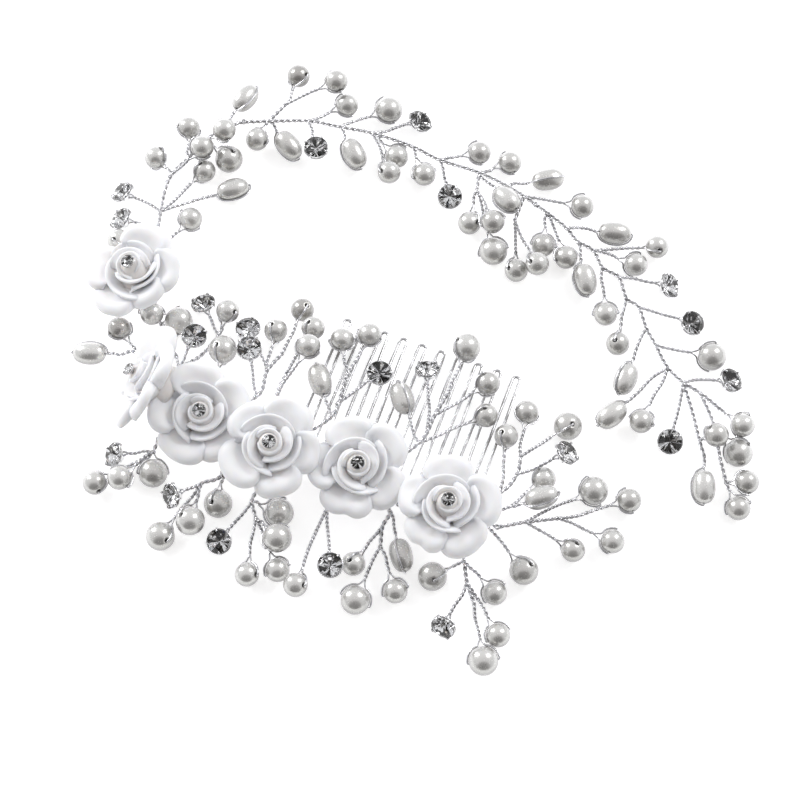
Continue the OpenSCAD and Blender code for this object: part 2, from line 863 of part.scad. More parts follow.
comb_teeth();
comb_spine();
spine_binding();
crown_stems();
crown_twigs();
crown_pearls();
crown_large_pearls();
crown_rice_pearls();
crown_crystals();
crown_cups();
rose_2();
rose_3();
rose_4();
rose_5();
rose_6();
rose_crystals();
rose_cups();
vine_1_stem();
vine_1_twigs();
vine_1_pearls();
vine_1_large_pearls();
vine_1_rice_pearls();
vine_1_crystals();
vine_1_cups();
rose_1();
rose_1_crystal();
rose_1_cup();
vine_2_stem();
vine_2_twigs();
vine_2_pearls();
vine_2_large_pearls();
vine_2_rice_pearls();
vine_2_crystals();
vine_2_cups();
vine_3_stem();
vine_3_twigs();
vine_3_pearls();
vine_3_large_pearls();
vine_3_rice_pearls();
vine_3_crystals();
vine_3_cups();
right_spray_wires();
right_spray_pearls();
right_spray_large_pearl();
lower_right_spray_wires();
lower_right_spray_pearls();
lower_right_spray_large_pearls();
lower_right_spray_crystal();
lower_right_spray_cup();
lower_left_spray_wires();
lower_left_spray_pearls();
lower_left_spray_large_pearls();
lower_left_spray_crystal();
lower_left_spray_cup();
left_spray_wires();
left_spray_pearls();
left_spray_large_pearl();
left_spray_crystal();
left_spray_cup();
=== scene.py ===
"""Bridal hair comb: clay roses, pearls, claw-set crystals and twisted silver wire.

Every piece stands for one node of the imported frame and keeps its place. The wires' routes and the beads'
places repeat those of the CAD source. All shapes are made in millimetres and scaled when a mesh is made.
"""

import math
import random

import bmesh
import bpy
import numpy as np
from mathutils import Matrix, Vector, noise


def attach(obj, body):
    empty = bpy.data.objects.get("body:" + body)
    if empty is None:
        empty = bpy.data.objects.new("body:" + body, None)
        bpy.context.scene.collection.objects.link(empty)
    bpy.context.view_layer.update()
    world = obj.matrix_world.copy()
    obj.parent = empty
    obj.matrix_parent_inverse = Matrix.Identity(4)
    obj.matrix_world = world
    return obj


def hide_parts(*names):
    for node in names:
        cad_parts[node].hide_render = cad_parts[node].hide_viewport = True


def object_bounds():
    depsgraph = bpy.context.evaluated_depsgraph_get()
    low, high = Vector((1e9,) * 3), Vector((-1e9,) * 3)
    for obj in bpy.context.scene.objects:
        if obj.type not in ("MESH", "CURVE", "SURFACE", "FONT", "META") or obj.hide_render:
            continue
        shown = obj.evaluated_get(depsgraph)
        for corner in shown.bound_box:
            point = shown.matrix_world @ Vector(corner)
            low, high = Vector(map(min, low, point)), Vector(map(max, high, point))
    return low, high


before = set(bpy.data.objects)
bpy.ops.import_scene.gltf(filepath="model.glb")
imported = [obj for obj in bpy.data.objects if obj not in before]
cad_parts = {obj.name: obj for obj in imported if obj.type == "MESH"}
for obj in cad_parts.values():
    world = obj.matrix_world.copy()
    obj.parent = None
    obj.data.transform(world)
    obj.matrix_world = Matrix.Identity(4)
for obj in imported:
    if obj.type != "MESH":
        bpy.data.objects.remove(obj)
cad_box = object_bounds()

MM = 0.001

# ---------------------------------------------------------------- routes and places, in millimetres

LINES = {
    "crown": [
        [(-50, 14, -1.5), (-48, 11, 1), (-46, 8, 2.2), (-38, 4, 2.2), (-22, 2, 2.2), (-2, 2, 2.2),
         (16, 2, 2.2), (22, 1.5, 2.2), (26, 1, 1)],
        [(-46, 8, 2.2), (-57, 11, 1.5), (-60, 10, 1)],
        [(-48, 11, 1), (-45, 16, -1), (-43, 21, 0)],
        [(-38, 4, 2.2), (-30, 10, 3), (-30, 16, 3), (-28.5, 21, 2.5)],
        [(-22, 2, 2.2), (-26, 11, 3), (-26, 17, 3)],
        [(-22, 2, 2.2), (-14, 11, 3), (-14, 20, 3)],
        [(-2, 2, 2.2), (5, 12, 3), (6, 19, 2.5), (7, 25, 2.5)],
        [(16, 2, 2.2), (24, 8, 1.5), (26, 13, 1), (25.5, 17, 1)],
        [(16, 2, 2.2), (26, 5, 1.5)],
        [(-2, 2, 2.2), (4, -3, 1.5), (4, -7, 1.5), (5, -11, 1)],
        [(-2, 2, 2.2), (-8, -7, 1.5)],
        [(16, 2, 2.2), (20, -5, 1)],
        [(-22, 2, 2.2), (-23, -8, 1)],
        [(-38, 4, 2.2), (-31, -7, 1.5), (-34, -11, 1.5)],
        [(-46, 8, 2.2), (-46, -5, 1)],
    ],
    "vine_1": [
        [(-50, 14, -1.5), (-56, 20, -2), (-62, 30, -1), (-64, 39, 1), (-65, 43, 1), (-66, 48, 1),
         (-66, 52, 1), (-64, 57, 1), (-62, 62, 1), (-60, 66, 1), (-56, 69, 1)],
    ],
    "vine_2": [
        [(-56, 69, 1), (-51, 71, 1), (-43, 74, 1), (-36, 75, 1), (-29, 76, 1), (-20, 76, 1),
         (-13, 75, 1), (-4, 75, 1), (3, 74, 1), (7, 73, 1), (10, 72, 1)],
        [(-51, 71, 1), (-49, 76, 1)],
        [(-4, 75, 1), (-3, 71, 1)],
        [(7, 73, 1), (7, 67, 1)],
    ],
    "vine_3": [
        [(10, 72, 1), (13, 71, 1), (18, 69, 1), (21, 67, 1), (25, 66, 1), (28, 63, 1), (32, 62, 1),
         (35, 58, 1), (38, 57, 1), (41, 53, 1), (44, 50, 1), (48, 46, 1), (52, 44, 1), (56, 43, 1),
         (61, 41, 1)],
        [(52, 44, 1), (56, 38, 1), (59, 33, 1), (61, 30, 1)],
        [(56, 43, 1), (61, 37, 1), (64, 31, 1), (67, 26, 1)],
    ],
    "right_spray": [[(26, 1, 1), (31, 4, 1), (37, 7, 1)]],
    "lower_right_spray": [[(20, -5, 1), (22, -8, 1), (24, -12, 1), (27, -16, 1)]],
    "lower_left_spray": [[(-23, -8, 1), (-23, -11, 1), (-21, -14, 1)]],
    "left_spray": [[(-46, -5, 1), (-46, -8, 1)]],
}

# kind, middle of the bead, root of its twig, lean of a crystal's face in degrees
BEADS = {
    "crown": [
        ("pearl", (-63, 15, 1), (-57, 11, 1.5)),
        ("rice", (-67, 8, 0), (-60, 10, 1)),
        ("crystal", (-49, 27, 0), (-43, 21, 0), 30),
        ("pearl", (-43, 26.5, 1), (-43, 21, 0)),
        ("crystal", (-47, 18, 4), (-48, 11, 1), 0),
        ("large", (-40.5, 17.5, 2.5), (-38, 4, 2.2)),
        ("crystal", (-38, 25, -0.2), (-30, 16, 3), 15),
        ("crystal", (-35, 19, 5), (-30, 10, 3), 0),
        ("pearl", (-32, 26, 0.5), (-30, 16, 3)),
        ("pearl", (-28.5, 32.5, 0), (-28.5, 21, 2.5)),
        ("pearl", (-24.5, 28.5, 2.5), (-26, 17, 3)),
        ("pearl", (-23.5, 23.5, 5.2), (-26, 11, 3)),
        ("rice", (-19, 18, 3), (-14, 11, 3)),
        ("pearl", (-18, 28.5, 1.5), (-14, 20, 3)),
        ("pearl", (-13, 31.5, 1.5), (-14, 20, 3)),
        ("crystal", (-8, 24, 2.5), (-14, 14, 3), 0),
        ("rice", (-1.5, 20, 3), (5, 12, 3)),
        ("crystal", (1, 28.5, 2), (5.5, 15.5, 2.75), 35),
        ("large", (7, 36, 1), (7, 25, 2.5)),
        ("pearl", (14, 29.5, 2), (6, 19, 2.5)),
        ("pearl", (16, 22.5, 2.5), (5, 12, 3)),
        ("pearl", (21.3, 20, 1.6), (24, 8, 1.5)),
        ("pearl", (23.5, 27, 0), (25.5, 17, 1)),
        ("large", (32.5, 27, 0), (25.5, 17, 1)),
        ("crystal", (34.5, 20.5, 3.5), (26, 13, 1), 40),
        ("pearl", (31.5, 14.5, -0.4), (26, 5, 1.5)),
        ("rice", (32.5, 9.5, 3), (26, 5, 1.5)),
        ("large", (34, -5.5, 0), (22, 1.5, 2.2)),
        ("rice", (9.5, -11, 0), (4, -3, 1.5)),
        ("pearl", (11, -18.5, 0), (5, -11, 1)),
        ("large", (4, -23, 0), (5, -11, 1)),
        ("pearl", (1, -16, 0), (4, -7, 1.5)),
        ("crystal", (-3, -18.5, 3), (-8, -7, 1.5), 0),
        ("pearl", (-8, -25, 3.4), (-8, -7, 1.5)),
        ("large", (-29.5, -13.5, 0), (-31, -7, 1.5)),
        ("large", (-33, -19.5, 2.5), (-34, -11, 1.5)),
        ("large", (-38, -24, 0), (-34, -11, 1.5)),
        ("crystal", (-39, -16, 2.5), (-34, -11, 1.5), 60),
    ],
    "vine_1": [
        ("pearl", (-57.5, 20, 2.5), (-62, 30, -1)),
        ("large", (-52, 21, 0.5), (-56, 20, -2)),
        ("crystal", (-75, 45, 0), (-65, 43, 1), 45),
        ("crystal", (-73, 39, 0), (-64, 39, 1), 45),
        ("pearl", (-71, 34, 0), (-63, 31, 1)),
        ("pearl", (-71, 55, 0), (-66, 52, 1)),
        ("pearl", (-67, 64, 0), (-64, 57, 1)),
        ("pearl", (-58.5, 44, 0), (-63, 31, 1)),
        ("pearl", (-61.5, 59, 4), (-66, 52, 1)),
        ("pearl", (-60, 55.5, 0), (-65, 43, 1)),
        ("pearl", (-58.5, 64.5, 4), (-62, 62, 1)),
        ("large", (-56, 60, 0), (-62, 62, 1)),
        ("rice", (-52.5, 53.5, 0), (-65, 43, 1)),
        ("rice", (-58, 75, 0), (-60, 66, 1)),
    ],
    "vine_2": [
        ("pearl", (-52, 66.5, 0), (-51, 71, 1)),
        ("pearl", (-49, 84, 0), (-49, 76, 1)),
        ("pearl", (-40, 84, 3.5), (-49, 76, 1)),
        ("rice", (-45, 67.5, 0), (-51, 71, 1)),
        ("crystal", (-39, 68.5, 1.5), (-43, 74, 1), 0),
        ("pearl", (-36.5, 81, 0), (-43, 74, 1)),
        ("rice", (-31, 70.5, 0), (-36, 75, 1)),
        ("large", (-27.5, 83, 0), (-36, 75, 1)),
        ("pearl", (-22, 73, 0), (-29, 76, 1)),
        ("pearl", (-22, 68, 2), (-29, 76, 1)),
        ("crystal", (-20, 83, 0), (-29, 76, 1), 30),
        ("pearl", (-15, 71, 0), (-20, 76, 1)),
        ("crystal", (-8, 68, 0), (-13, 75, 1), 20),
        ("pearl", (-5.5, 80, 0), (-13, 75, 1)),
        ("pearl", (1.5, 80, 0), (-4, 75, 1)),
        ("rice", (4, 70.2, 3), (-4, 75, 1)),
        ("pearl", (-2, 63.5, 0), (-3, 71, 1)),
        ("pearl", (3, 64, 3.5), (-3, 71, 1)),
        ("large", (5, 59, 0), (-3, 71, 1)),
        ("rice", (10.5, 79, 0), (3, 74, 1)),
        ("pearl", (19.5, 75.5, 0), (7, 73, 1)),
        ("pearl", (11, 56.5, 0), (7, 67, 1)),
        ("pearl", (15, 58, 3.5), (7, 67, 1)),
    ],
    "vine_3": [
        ("pearl", (14.5, 64, 0), (13, 71, 1)),
        ("pearl", (20, 63, 0), (13, 71, 1)),
        ("rice", (28, 72, 0), (18, 69, 1)),
        ("rice", (25.5, 59.5, 0), (21, 67, 1)),
        ("pearl", (37.5, 72, 0), (25, 66, 1)),
        ("pearl", (34.5, 66.5, 0), (25, 66, 1)),
        ("crystal", (43, 64.5, 0), (32, 62, 1), 45),
        ("pearl", (32, 53.5, 0), (28, 63, 1)),
        ("crystal", (50, 58, 0), (38, 57, 1), 20),
        ("pearl", (36.5, 48, 0), (35, 58, 1)),
        ("large", (56, 52, 0), (44, 50, 1)),
        ("crystal", (61.5, 48.5, 0), (52, 44, 1), 30),
        ("rice", (40.5, 41, 0), (41, 53, 1)),
        ("rice", (40.3, 32.5, 0), (48, 46, 1)),
        ("pearl", (46.5, 33, 0.5), (48, 46, 1)),
        ("crystal", (53.5, 31, 0), (52, 44, 1), 20),
        ("pearl", (62, 34, 4.5), (59, 33, 1)),
        ("pearl", (66.5, 38.5, 3), (61, 41, 1)),
        ("large", (67.5, 33.5, 0), (61, 37, 1)),
        ("pearl", (71, 28, 0), (67, 26, 1)),
        ("pearl", (71, 22, 0), (67, 26, 1)),
        ("rice", (63, 24, 0), (61, 30, 1)),
    ],
    "right_spray": [
        ("large", (42, 15.5, 0), (31, 4, 1)),
        ("pearl", (49.5, 16, 0), (37, 7, 1)),
        ("pearl", (49, 6.5, 0), (37, 7, 1)),
        ("pearl", (42, 2, 0), (31, 4, 1)),
    ],
    "lower_right_spray": [
        ("pearl", (30, -12, 0), (22, -8, 1)),
        ("pearl", (33.5, -20, 0), (24, -12, 1)),
        ("large", (32.5, -26, 0), (27, -16, 1)),
        ("crystal", (22.5, -22.5, 0), (24, -12, 1), 60),
        ("large", (17, -13, 0), (22, -8, 1)),
    ],
    "lower_left_spray": [
        ("large", (-17, -11, 0), (-23, -11, 1)),
        ("large", (-15, -17, 3.2), (-21, -14, 1)),
        ("pearl", (-13, -22.5, 0), (-21, -14, 1)),
        ("pearl", (-18.5, -25.5, 0), (-21, -14, 1)),
        ("crystal", (-26.5, -21, 0), (-23, -11, 1), 20),
    ],
    "left_spray": [
        ("large", (-44.5, -12, 0), (-46, -8, 1)),
        ("pearl", (-50, -16, 2.8), (-46, -8, 1)),
        ("pearl", (-55, -18, 0), (-46, -8, 1)),
        ("crystal", (-54, -11, 0), (-46, -8, 1), 50),
    ],
}

# each spray or stretch of vine bends on a knot at the end of the wire before it
KNOTS = {
    "crown": ["vine_1", "right_spray", "lower_right_spray", "lower_left_spray", "left_spray"],
    "vine_1": ["vine_2"],
    "vine_2": ["vine_3"],
}

# roses: middle of the base, lean and its direction in degrees, then the outer petals:
# (direction, half width in degrees, reach, lift, dimple, notch), and the turn of the wrapped middle
ROSES = {
    "rose_1": ((-62.5, 26.5, 1.7), 12, 190, [
        (88, 46, 10.6, 5.6, 0.1, 0.0), (188, 42, 10.8, 4.4, 0.5, 0.0), (252, 40, 10.9, 4.0, 0.2, 0.3),
        (318, 38, 9.0, 4.6, 0.0, 0.0), (15, 42, 9.8, 5.0, 0.5, 0.2)], 150),
    "rose_2": ((-47, 4, 5.5), 58, 178, [
        (95, 44, 11.8, 6.4, 0.1, 0.0), (165, 40, 10.6, 5.4, 0.6, 0.3), (240, 42, 11.4, 5.0, 0.3, 0.0),
        (300, 40, 10.0, 5.2, 0.1, 0.4), (20, 42, 10.0, 5.8, 0.5, 0.0)], 40),
    "rose_3": ((-38.5, 1.5, 3.2), 8, -70, [
        (117, 42, 11.2, 5.2, 0.5, 0.0), (193, 38, 10.8, 4.6, 0.2, 0.0), (258, 42, 10.9, 4.2, 0.1, 0.2),
        (322, 38, 10.2, 4.6, 0.3, 0.0), (45, 40, 10.4, 5.0, 0.4, 0.0)], 5),
    "rose_4": ((-22.5, -0.5, 5), 8, -70, [
        (78, 42, 10.8, 5.2, 0.9, 0.0), (150, 38, 10.2, 4.8, 0.4, 0.0), (230, 44, 10.9, 4.2, 0.1, 0.0),
        (303, 38, 10.8, 4.4, 0.0, 0.2), (10, 36, 10.2, 4.8, 0.6, 0.0)], 30),
    "rose_5": ((-4.5, 2, 3), 8, -70, [
        (122, 42, 10.6, 5.2, 1.1, 0.2), (58, 40, 10.8, 4.8, 0.3, 0.0), (342, 38, 10.6, 4.6, 0.1, 0.0),
        (270, 44, 10.8, 4.0, 0.0, 0.9), (198, 40, 10.4, 4.8, 1.0, 0.0)], 65),
    "rose_6": ((15.5, 0, 3.5), 3, -70, [
        (108, 42, 10.6, 5.0, 0.9, 0.3), (28, 44, 10.8, 4.8, 0.1, 0.0), (316, 40, 10.9, 4.2, 0.0, 0.2),
        (250, 40, 10.4, 4.0, 0.2, 0.8), (183, 38, 10.2, 4.8, 1.1, 0.0)], 50),
}

# pearls that look dark in the photo, by the middle of the bead
DARK_PEARLS = {(-63, 15, 1), (-28.5, 32.5, 0), (-49, 84, 0)}
DARK_PEARL_SHADE = 0.75

# sizes of the comb and its beads, as in the CAD source
TOOTH_COUNT, TOOTH_PITCH, TOOTH_LENGTH, TOOTH_WIRE, TOOTH_SLOPE = 10, 4.2, 35, 0.8, 4
SPINE_ROD = 1.2
BEAD_D = {"pearl": 5.0, "large": 6.0}
RICE_D, RICE_LENGTH = 4.8, 7.0
BORE_D = 0.9
CRYSTAL_D, ROSE_CRYSTAL_D = 5.2, 2.8
STEM_WIRE = 0.9
BUD_H = 8.8

# radius of one strand of a twig and of a stem, then the stem pair's diameter and the length of one turn.
# The pairs are a little thicker than in the CAD source, to match the photo.
TWIG_STRAND_R = 0.215
STEM_STRAND_R = STEM_WIRE * 0.275
STEM_PAIR = STEM_WIRE * 1.1
STEM_PITCH = 2.6

# where a bending wire starts, from the middle of its knot (1.0 in the CAD source)
KNOT_GAP = 0.45
# how far the standing wire stops short of the middle of that knot
KNOT_STOP = 0.25

# a stone and its cup are both made to this share of the nominal size
STONE_FIT = 0.94
# height of a rose's stone above its bud, as a share of the stone's diameter
ROSE_STONE_SEAT = 0.44

# ---------------------------------------------------------------- shapes


class Shape:
    """Vertices and faces of one piece in millimetres. Each vertex has a shade (a bead's own greyness, or
    painted crease shade on clay), each face a material.
    """

    def __init__(self):
        self.verts, self.faces, self.slots, self.shades = [], [], [], []
        self.size = 0

    def add(self, verts, faces, slot=0, shade=0.0, at=None):
        verts = np.asarray(verts, float)
        if at is not None:
            turn = np.array(at)
            verts = verts @ turn[:3, :3].T + turn[:3, 3]
        self.verts.append(verts)
        self.shades.append(np.broadcast_to(np.asarray(shade, float), (len(verts),)))
        self.faces += [[i + self.size for i in face] for face in faces]
        self.slots += [slot] * len(faces)
        self.size += len(verts)

    def mesh(self, name, materials, flat_slots=()):
        mesh = bpy.data.meshes.new(name)
        mesh.from_pydata((np.vstack(self.verts) * MM).tolist(), [], self.faces)
        mesh.polygons.foreach_set("material_index", self.slots)
        mesh.polygons.foreach_set("use_smooth", [s not in flat_slots for s in self.slots])
        shade = mesh.attributes.new("shade", "FLOAT", "POINT")
        shade.data.foreach_set("value", np.concatenate(self.shades))
        for material in materials:
            mesh.materials.append(material)
        mesh.update()
        outward = bmesh.new()
        outward.from_mesh(mesh)
        bmesh.ops.recalc_face_normals(outward, faces=outward.faces)
        outward.to_mesh(mesh)
        outward.free()
        return mesh


def place_piece(node, shape, body, materials, flat_slots=(), levels=0):
    """Makes the piece that stands for a CAD node, riding on that node's body."""
    thing = bpy.data.objects.new("look_" + node, shape.mesh("look_" + node, materials, flat_slots))
    bpy.context.scene.collection.objects.link(thing)
    if levels:
        smooth = thing.modifiers.new("soft", "SUBSURF")
        smooth.levels = smooth.render_levels = levels
    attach(thing, body)
    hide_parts(node)


def unit(v):
    return v / np.linalg.norm(v)


def smooth_path(points, step, tension=0.5):
    """Points every step or so along a Catmull-Rom curve through the given points."""
    pts = [np.asarray(p, float) for p in points]
    pts = [2 * pts[0] - pts[1]] + pts + [2 * pts[-1] - pts[-2]]
    out = []
    for a, b, c, d in zip(pts, pts[1:], pts[2:], pts[3:]):
        count = max(2, int(round(np.linalg.norm(c - b) / step)))
        t = (np.arange(count) / count)[:, None]
        out.append(
            (2 * t**3 - 3 * t**2 + 1) * b
            + (t**3 - 2 * t**2 + t) * tension * (c - a)
            + (-2 * t**3 + 3 * t**2) * c
            + (t**3 - t**2) * tension * (d - b)
        )
    return np.vstack(out + [pts[-2][None]])


def along(path):
    """Unit directions of a path at each of its points."""
    ways = np.gradient(path, axis=0)
    return ways / np.linalg.norm(ways, axis=1)[:, None]


def frames_back(path, last_side):
    """Two cross directions at each point, carried from the far end, where the first one is last_side."""
    ways = along(path)
    sides = np.zeros_like(path)
    side = np.asarray(last_side, float)
    for i in range(len(path) - 1, -1, -1):
        side = unit(side - ways[i] * np.dot(side, ways[i]))
        sides[i] = side
    return sides, np.cross(ways, sides)


def tube(path, radius, sides=6):
    """Round closed tube along a path. The radius is one number or one per point."""
    count = len(path)
    first = np.cross(along(path)[-1], (0.31, 0.17, 0.93))
    u, v = frames_back(path, first)
    radius = np.broadcast_to(np.asarray(radius, float), (count,))[:, None, None]
    turn = np.arange(sides) * 2 * math.pi / sides
    ring = u[:, None] * np.cos(turn)[None, :, None] + v[:, None] * np.sin(turn)[None, :, None]
    verts = (path[:, None] + ring * radius).reshape(-1, 3)
    faces = []
    for i in range(count - 1):
        for k in range(sides):
            j = (k + 1) % sides
            faces.append([i * sides + k, i * sides + j, (i + 1) * sides + j, (i + 1) * sides + k])
    faces.append(list(range(sides))[::-1])
    faces.append([(count - 1) * sides + k for k in range(sides)])
    return verts, faces


def lathe(profile, count, closed=True):
    """Turns a profile of (radius, height) about Z. A closed profile makes a ring-like solid."""
    profile = np.asarray(profile, float)
    rows = len(profile)
    turn = np.arange(count) * 2 * math.pi / count
    verts = np.stack(
        [
            profile[None, :, 0] * np.cos(turn)[:, None],
            profile[None, :, 0] * np.sin(turn)[:, None],
            np.broadcast_to(profile[None, :, 1], (count, rows)),
        ],
        axis=2,
    ).reshape(-1, 3)
    faces = []
    for i in range(count):
        j = (i + 1) % count
        for k in range(rows if closed else rows - 1):
            m = (k + 1) % rows
            faces.append([i * rows + k, j * rows + k, j * rows + m, i * rows + m])
    return verts, faces


def shell(middle, wall, shade):
    """Closed sheet of clay around a grid of middle points: rows run from the base to the rim."""
    rows, cols = middle.shape[:2]
    across = np.gradient(middle, axis=1)
    up = np.gradient(middle, axis=0)
    out = np.cross(up, across)
    out /= np.linalg.norm(out, axis=2)[:, :, None] + 1e-9
    half = wall[:, :, None] / 2
    verts = np.concatenate([(middle + out * half).reshape(-1, 3), (middle - out * half).reshape(-1, 3)])
    n = rows * cols
    faces = []
    for j in range(rows - 1):
        for i in range(cols - 1):
            k = j * cols + i
            faces.append([k, k + cols, k + cols + 1, k + 1])
            faces.append([n + k, n + k + 1, n + k + cols + 1, n + k + cols])
    rim = [i for i in range(cols)]
    rim += [j * cols + cols - 1 for j in range(1, rows)]
    rim += [(rows - 1) * cols + i for i in range(cols - 2, -1, -1)]
    rim += [j * cols for j in range(rows - 2, 0, -1)]
    for a, b in zip(rim, rim[1:] + rim[:1]):
        faces.append([a, b, n + b, n + a])
    return verts, faces, np.concatenate([shade.reshape(-1), shade.reshape(-1)])


# ---------------------------------------------------------------- materials


def new_material(name):
    material = bpy.data.materials.new(name)
    material.use_nodes = True
    tree = material.node_tree
    shader = tree.nodes["Principled BSDF"]
    return material, tree, shader


def ramp(tree, source, stops):
    """Colour ramp fed by a socket, with stops of (place, colour)."""
    node = tree.nodes.new("ShaderNodeValToRGB")
    node.color_ramp.elements[0].position = stops[0][0]
    node.color_ramp.elements[0].color = (*stops[0][1], 1)
    node.color_ramp.elements[1].position = stops[-1][0]
    node.color_ramp.elements[1].color = (*stops[-1][1], 1)
    for place, colour in stops[1:-1]:
        node.color_ramp.elements.new(place).color = (*colour, 1)
    tree.links.new(source, node.inputs["Fac"])
    return node.outputs["Color"]


def noise_of(tree, scale, detail=3.0, roughness=0.5):
    """Noise in the part's own space, with scale in features per metre."""
    where = tree.nodes.new("ShaderNodeTexCoord")
    node = tree.nodes.new("ShaderNodeTexNoise")
    node.inputs["Scale"].default_value = scale
    node.inputs["Detail"].default_value = detail
    node.inputs["Roughness"].default_value = roughness
    tree.links.new(where.outputs["Object"], node.inputs["Vector"])
    return node.outputs["Fac"]


def bump(tree, shader, source, strength, distance):
    node = tree.nodes.new("ShaderNodeBump")
    node.inputs["Strength"].default_value = strength
    node.inputs["Distance"].default_value = distance
    tree.links.new(source, node.inputs["Height"])
    tree.links.new(node.outputs["Normal"], shader.inputs["Normal"])


def mix(tree, kind, amount, a, b):
    """Mix of two colours. amount, a and b are each a socket or a plain value."""
    node = tree.nodes.new("ShaderNodeMix")
    node.data_type = "RGBA"
    node.blend_type = kind
    for socket, value in ((node.inputs[0], amount), (node.inputs[6], a), (node.inputs[7], b)):
        if isinstance(value, bpy.types.NodeSocket):
            tree.links.new(value, socket)
        elif isinstance(value, tuple):
            socket.default_value = (*value, 1)
        else:
            socket.default_value = value
    return node.outputs[2]


def shade_of(tree):
    node = tree.nodes.new("ShaderNodeAttribute")
    node.attribute_name = "shade"
    return node.outputs["Fac"]


def clay_material():
    """White polymer clay: satin, a little translucent, faintly fingered, with painted shade that turns it
    warmer and darker deep in each crease.
    """
    material, tree, shader = new_material("white_clay")
    # painted shade: the shade attribute runs the clay from cool white to a darker warm cream towards each
    # crease
    crease_shade_stops = [(0.0, (0.94, 0.94, 0.955)), (0.55, (0.94, 0.93, 0.93)), (1.0, (0.86, 0.79, 0.71))]
    painted_crease_shade = ramp(tree, shade_of(tree), crease_shade_stops)
    cloud = ramp(tree, noise_of(tree, 260, 2), [(0.35, (0.97, 0.97, 0.98)), (0.65, (1, 1, 1))])
    tree.links.new(mix(tree, "MULTIPLY", 1.0, painted_crease_shade, cloud), shader.inputs["Base Color"])
    rough = ramp(tree, noise_of(tree, 900, 3), [(0.3, (0.42,) * 3), (0.7, (0.56,) * 3)])
    tree.links.new(rough, shader.inputs["Roughness"])
    shader.inputs["Specular IOR Level"].default_value = 0.35
    shader.inputs["Subsurface Weight"].default_value = 0.35
    shader.inputs["Subsurface Radius"].default_value = (1.0, 0.85, 0.7)
    shader.inputs["Subsurface Scale"].default_value = 0.0009
    bump(tree, shader, noise_of(tree, 1500, 5, 0.6), 0.25, 0.00006)
    return material


def pearl_material(name, light, dark):
    """Pearl lacquer over a bead: satin metallic body, clear coat and thin-film lustre.

    The body is painted darker where the surface doesn't face up (+Z), for the grey rims in the photo.
    """
    material, tree, shader = new_material(name)
    body = mix(tree, "MIX", shade_of(tree), light, dark)
    cloud = ramp(tree, noise_of(tree, 420, 3), [(0.3, (0.985, 0.985, 0.987)), (0.7, (1, 1, 1))])
    # painted shade: the body darkens as the surface turns away from +Z, to about half where it faces
    # sideways or down
    face = tree.nodes.new("ShaderNodeNewGeometry")
    split = tree.nodes.new("ShaderNodeSeparateXYZ")
    tree.links.new(face.outputs["Normal"], split.inputs[0])
    rims = [(0.12, (0.48, 0.465, 0.45)), (0.5, (0.84, 0.83, 0.82)), (0.82, (1, 1, 1))]
    under = ramp(tree, split.outputs["Z"], rims)
    body = mix(tree, "MULTIPLY", 1.0, body, under)
    tree.links.new(mix(tree, "MULTIPLY", 1.0, body, cloud), shader.inputs["Base Color"])
    rough = ramp(tree, noise_of(tree, 2500, 2), [(0.3, (0.24,) * 3), (0.7, (0.28,) * 3)])
    tree.links.new(rough, shader.inputs["Roughness"])
    shader.inputs["Metallic"].default_value = 0.55
    shader.inputs["Coat Weight"].default_value = 0.8
    shader.inputs["Coat Roughness"].default_value = 0.14
    shader.inputs["Thin Film Thickness"].default_value = 420
    shader.inputs["Thin Film IOR"].default_value = 1.4
    bump(tree, shader, noise_of(tree, 2200, 2), 0.03, 0.00002)
    return material


def wire_material(name, colour, low, high, scratch):
    """Drawn wire: bright metal with fine marks and a few dull stretches."""
    material, tree, shader = new_material(name)
    dulled = tuple(c * 0.72 for c in colour)
    dull = ramp(tree, noise_of(tree, 550, 3), [(0.32, dulled), (0.55, colour)])
    tree.links.new(dull, shader.inputs["Base Color"])
    shader.inputs["Metallic"].default_value = 1.0
    rough = ramp(tree, noise_of(tree, 1800, 3), [(0.3, (low,) * 3), (0.7, (high,) * 3)])
    tree.links.new(rough, shader.inputs["Roughness"])
    bump(tree, shader, noise_of(tree, 5200, 2), scratch, 0.00004)
    return material


def crystal_material():
    """Clear cut stone, with the faintest clouding in the glass."""
    material, tree, shader = new_material("cut_crystal")
    tint = ramp(tree, noise_of(tree, 700, 2), [(0.3, (0.95, 0.96, 0.98)), (0.7, (1, 1, 1))])
    tree.links.new(tint, shader.inputs["Base Color"])
    shader.inputs["Transmission Weight"].default_value = 1.0
    shader.inputs["IOR"].default_value = 1.58
    rough = ramp(tree, noise_of(tree, 900, 2), [(0.3, (0.0,) * 3), (0.8, (0.02,) * 3)])
    tree.links.new(rough, shader.inputs["Roughness"])
    return material


def foil_material(name, low, high):
    """Back of a stone: a mirror that runs from low to high in slightly worn patches."""
    material, tree, shader = new_material(name)
    tint = ramp(tree, noise_of(tree, 900, 3), [(0.35, low), (0.6, high)])
    tree.links.new(tint, shader.inputs["Base Color"])
    shader.inputs["Metallic"].default_value = 1.0
    rough = ramp(tree, noise_of(tree, 1500, 2), [(0.3, (0.03,) * 3), (0.8, (0.10,) * 3)])
    tree.links.new(rough, shader.inputs["Roughness"])
    return material


clay = clay_material()
pearl = pearl_material("pearl_lacquer", (0.76, 0.75, 0.735), (0.42, 0.40, 0.385))
rice = pearl_material("rice_pearl_lacquer", (0.78, 0.77, 0.755), (0.50, 0.48, 0.46))
silver = wire_material("silver_wire", (0.74, 0.74, 0.76), 0.12, 0.26, 0.35)
comb_wire = wire_material("comb_wire", (0.72, 0.72, 0.73), 0.10, 0.22, 0.25)
cup_metal = wire_material("cup_metal", (0.84, 0.84, 0.85), 0.08, 0.22, 0.2)
crystal = crystal_material()
foil = foil_material("crystal_foil", (0.92, 0.92, 0.92), (1.0, 1.0, 1.0))
# near-black mirror for some back facets: a painted dark reflection, not a dark foil
painted_dark_reflection = foil_material("crystal_painted_dark_reflection", (0.008, 0.008, 0.008), (0.05, 0.045, 0.04))

# ---------------------------------------------------------------- wires, loops and beads


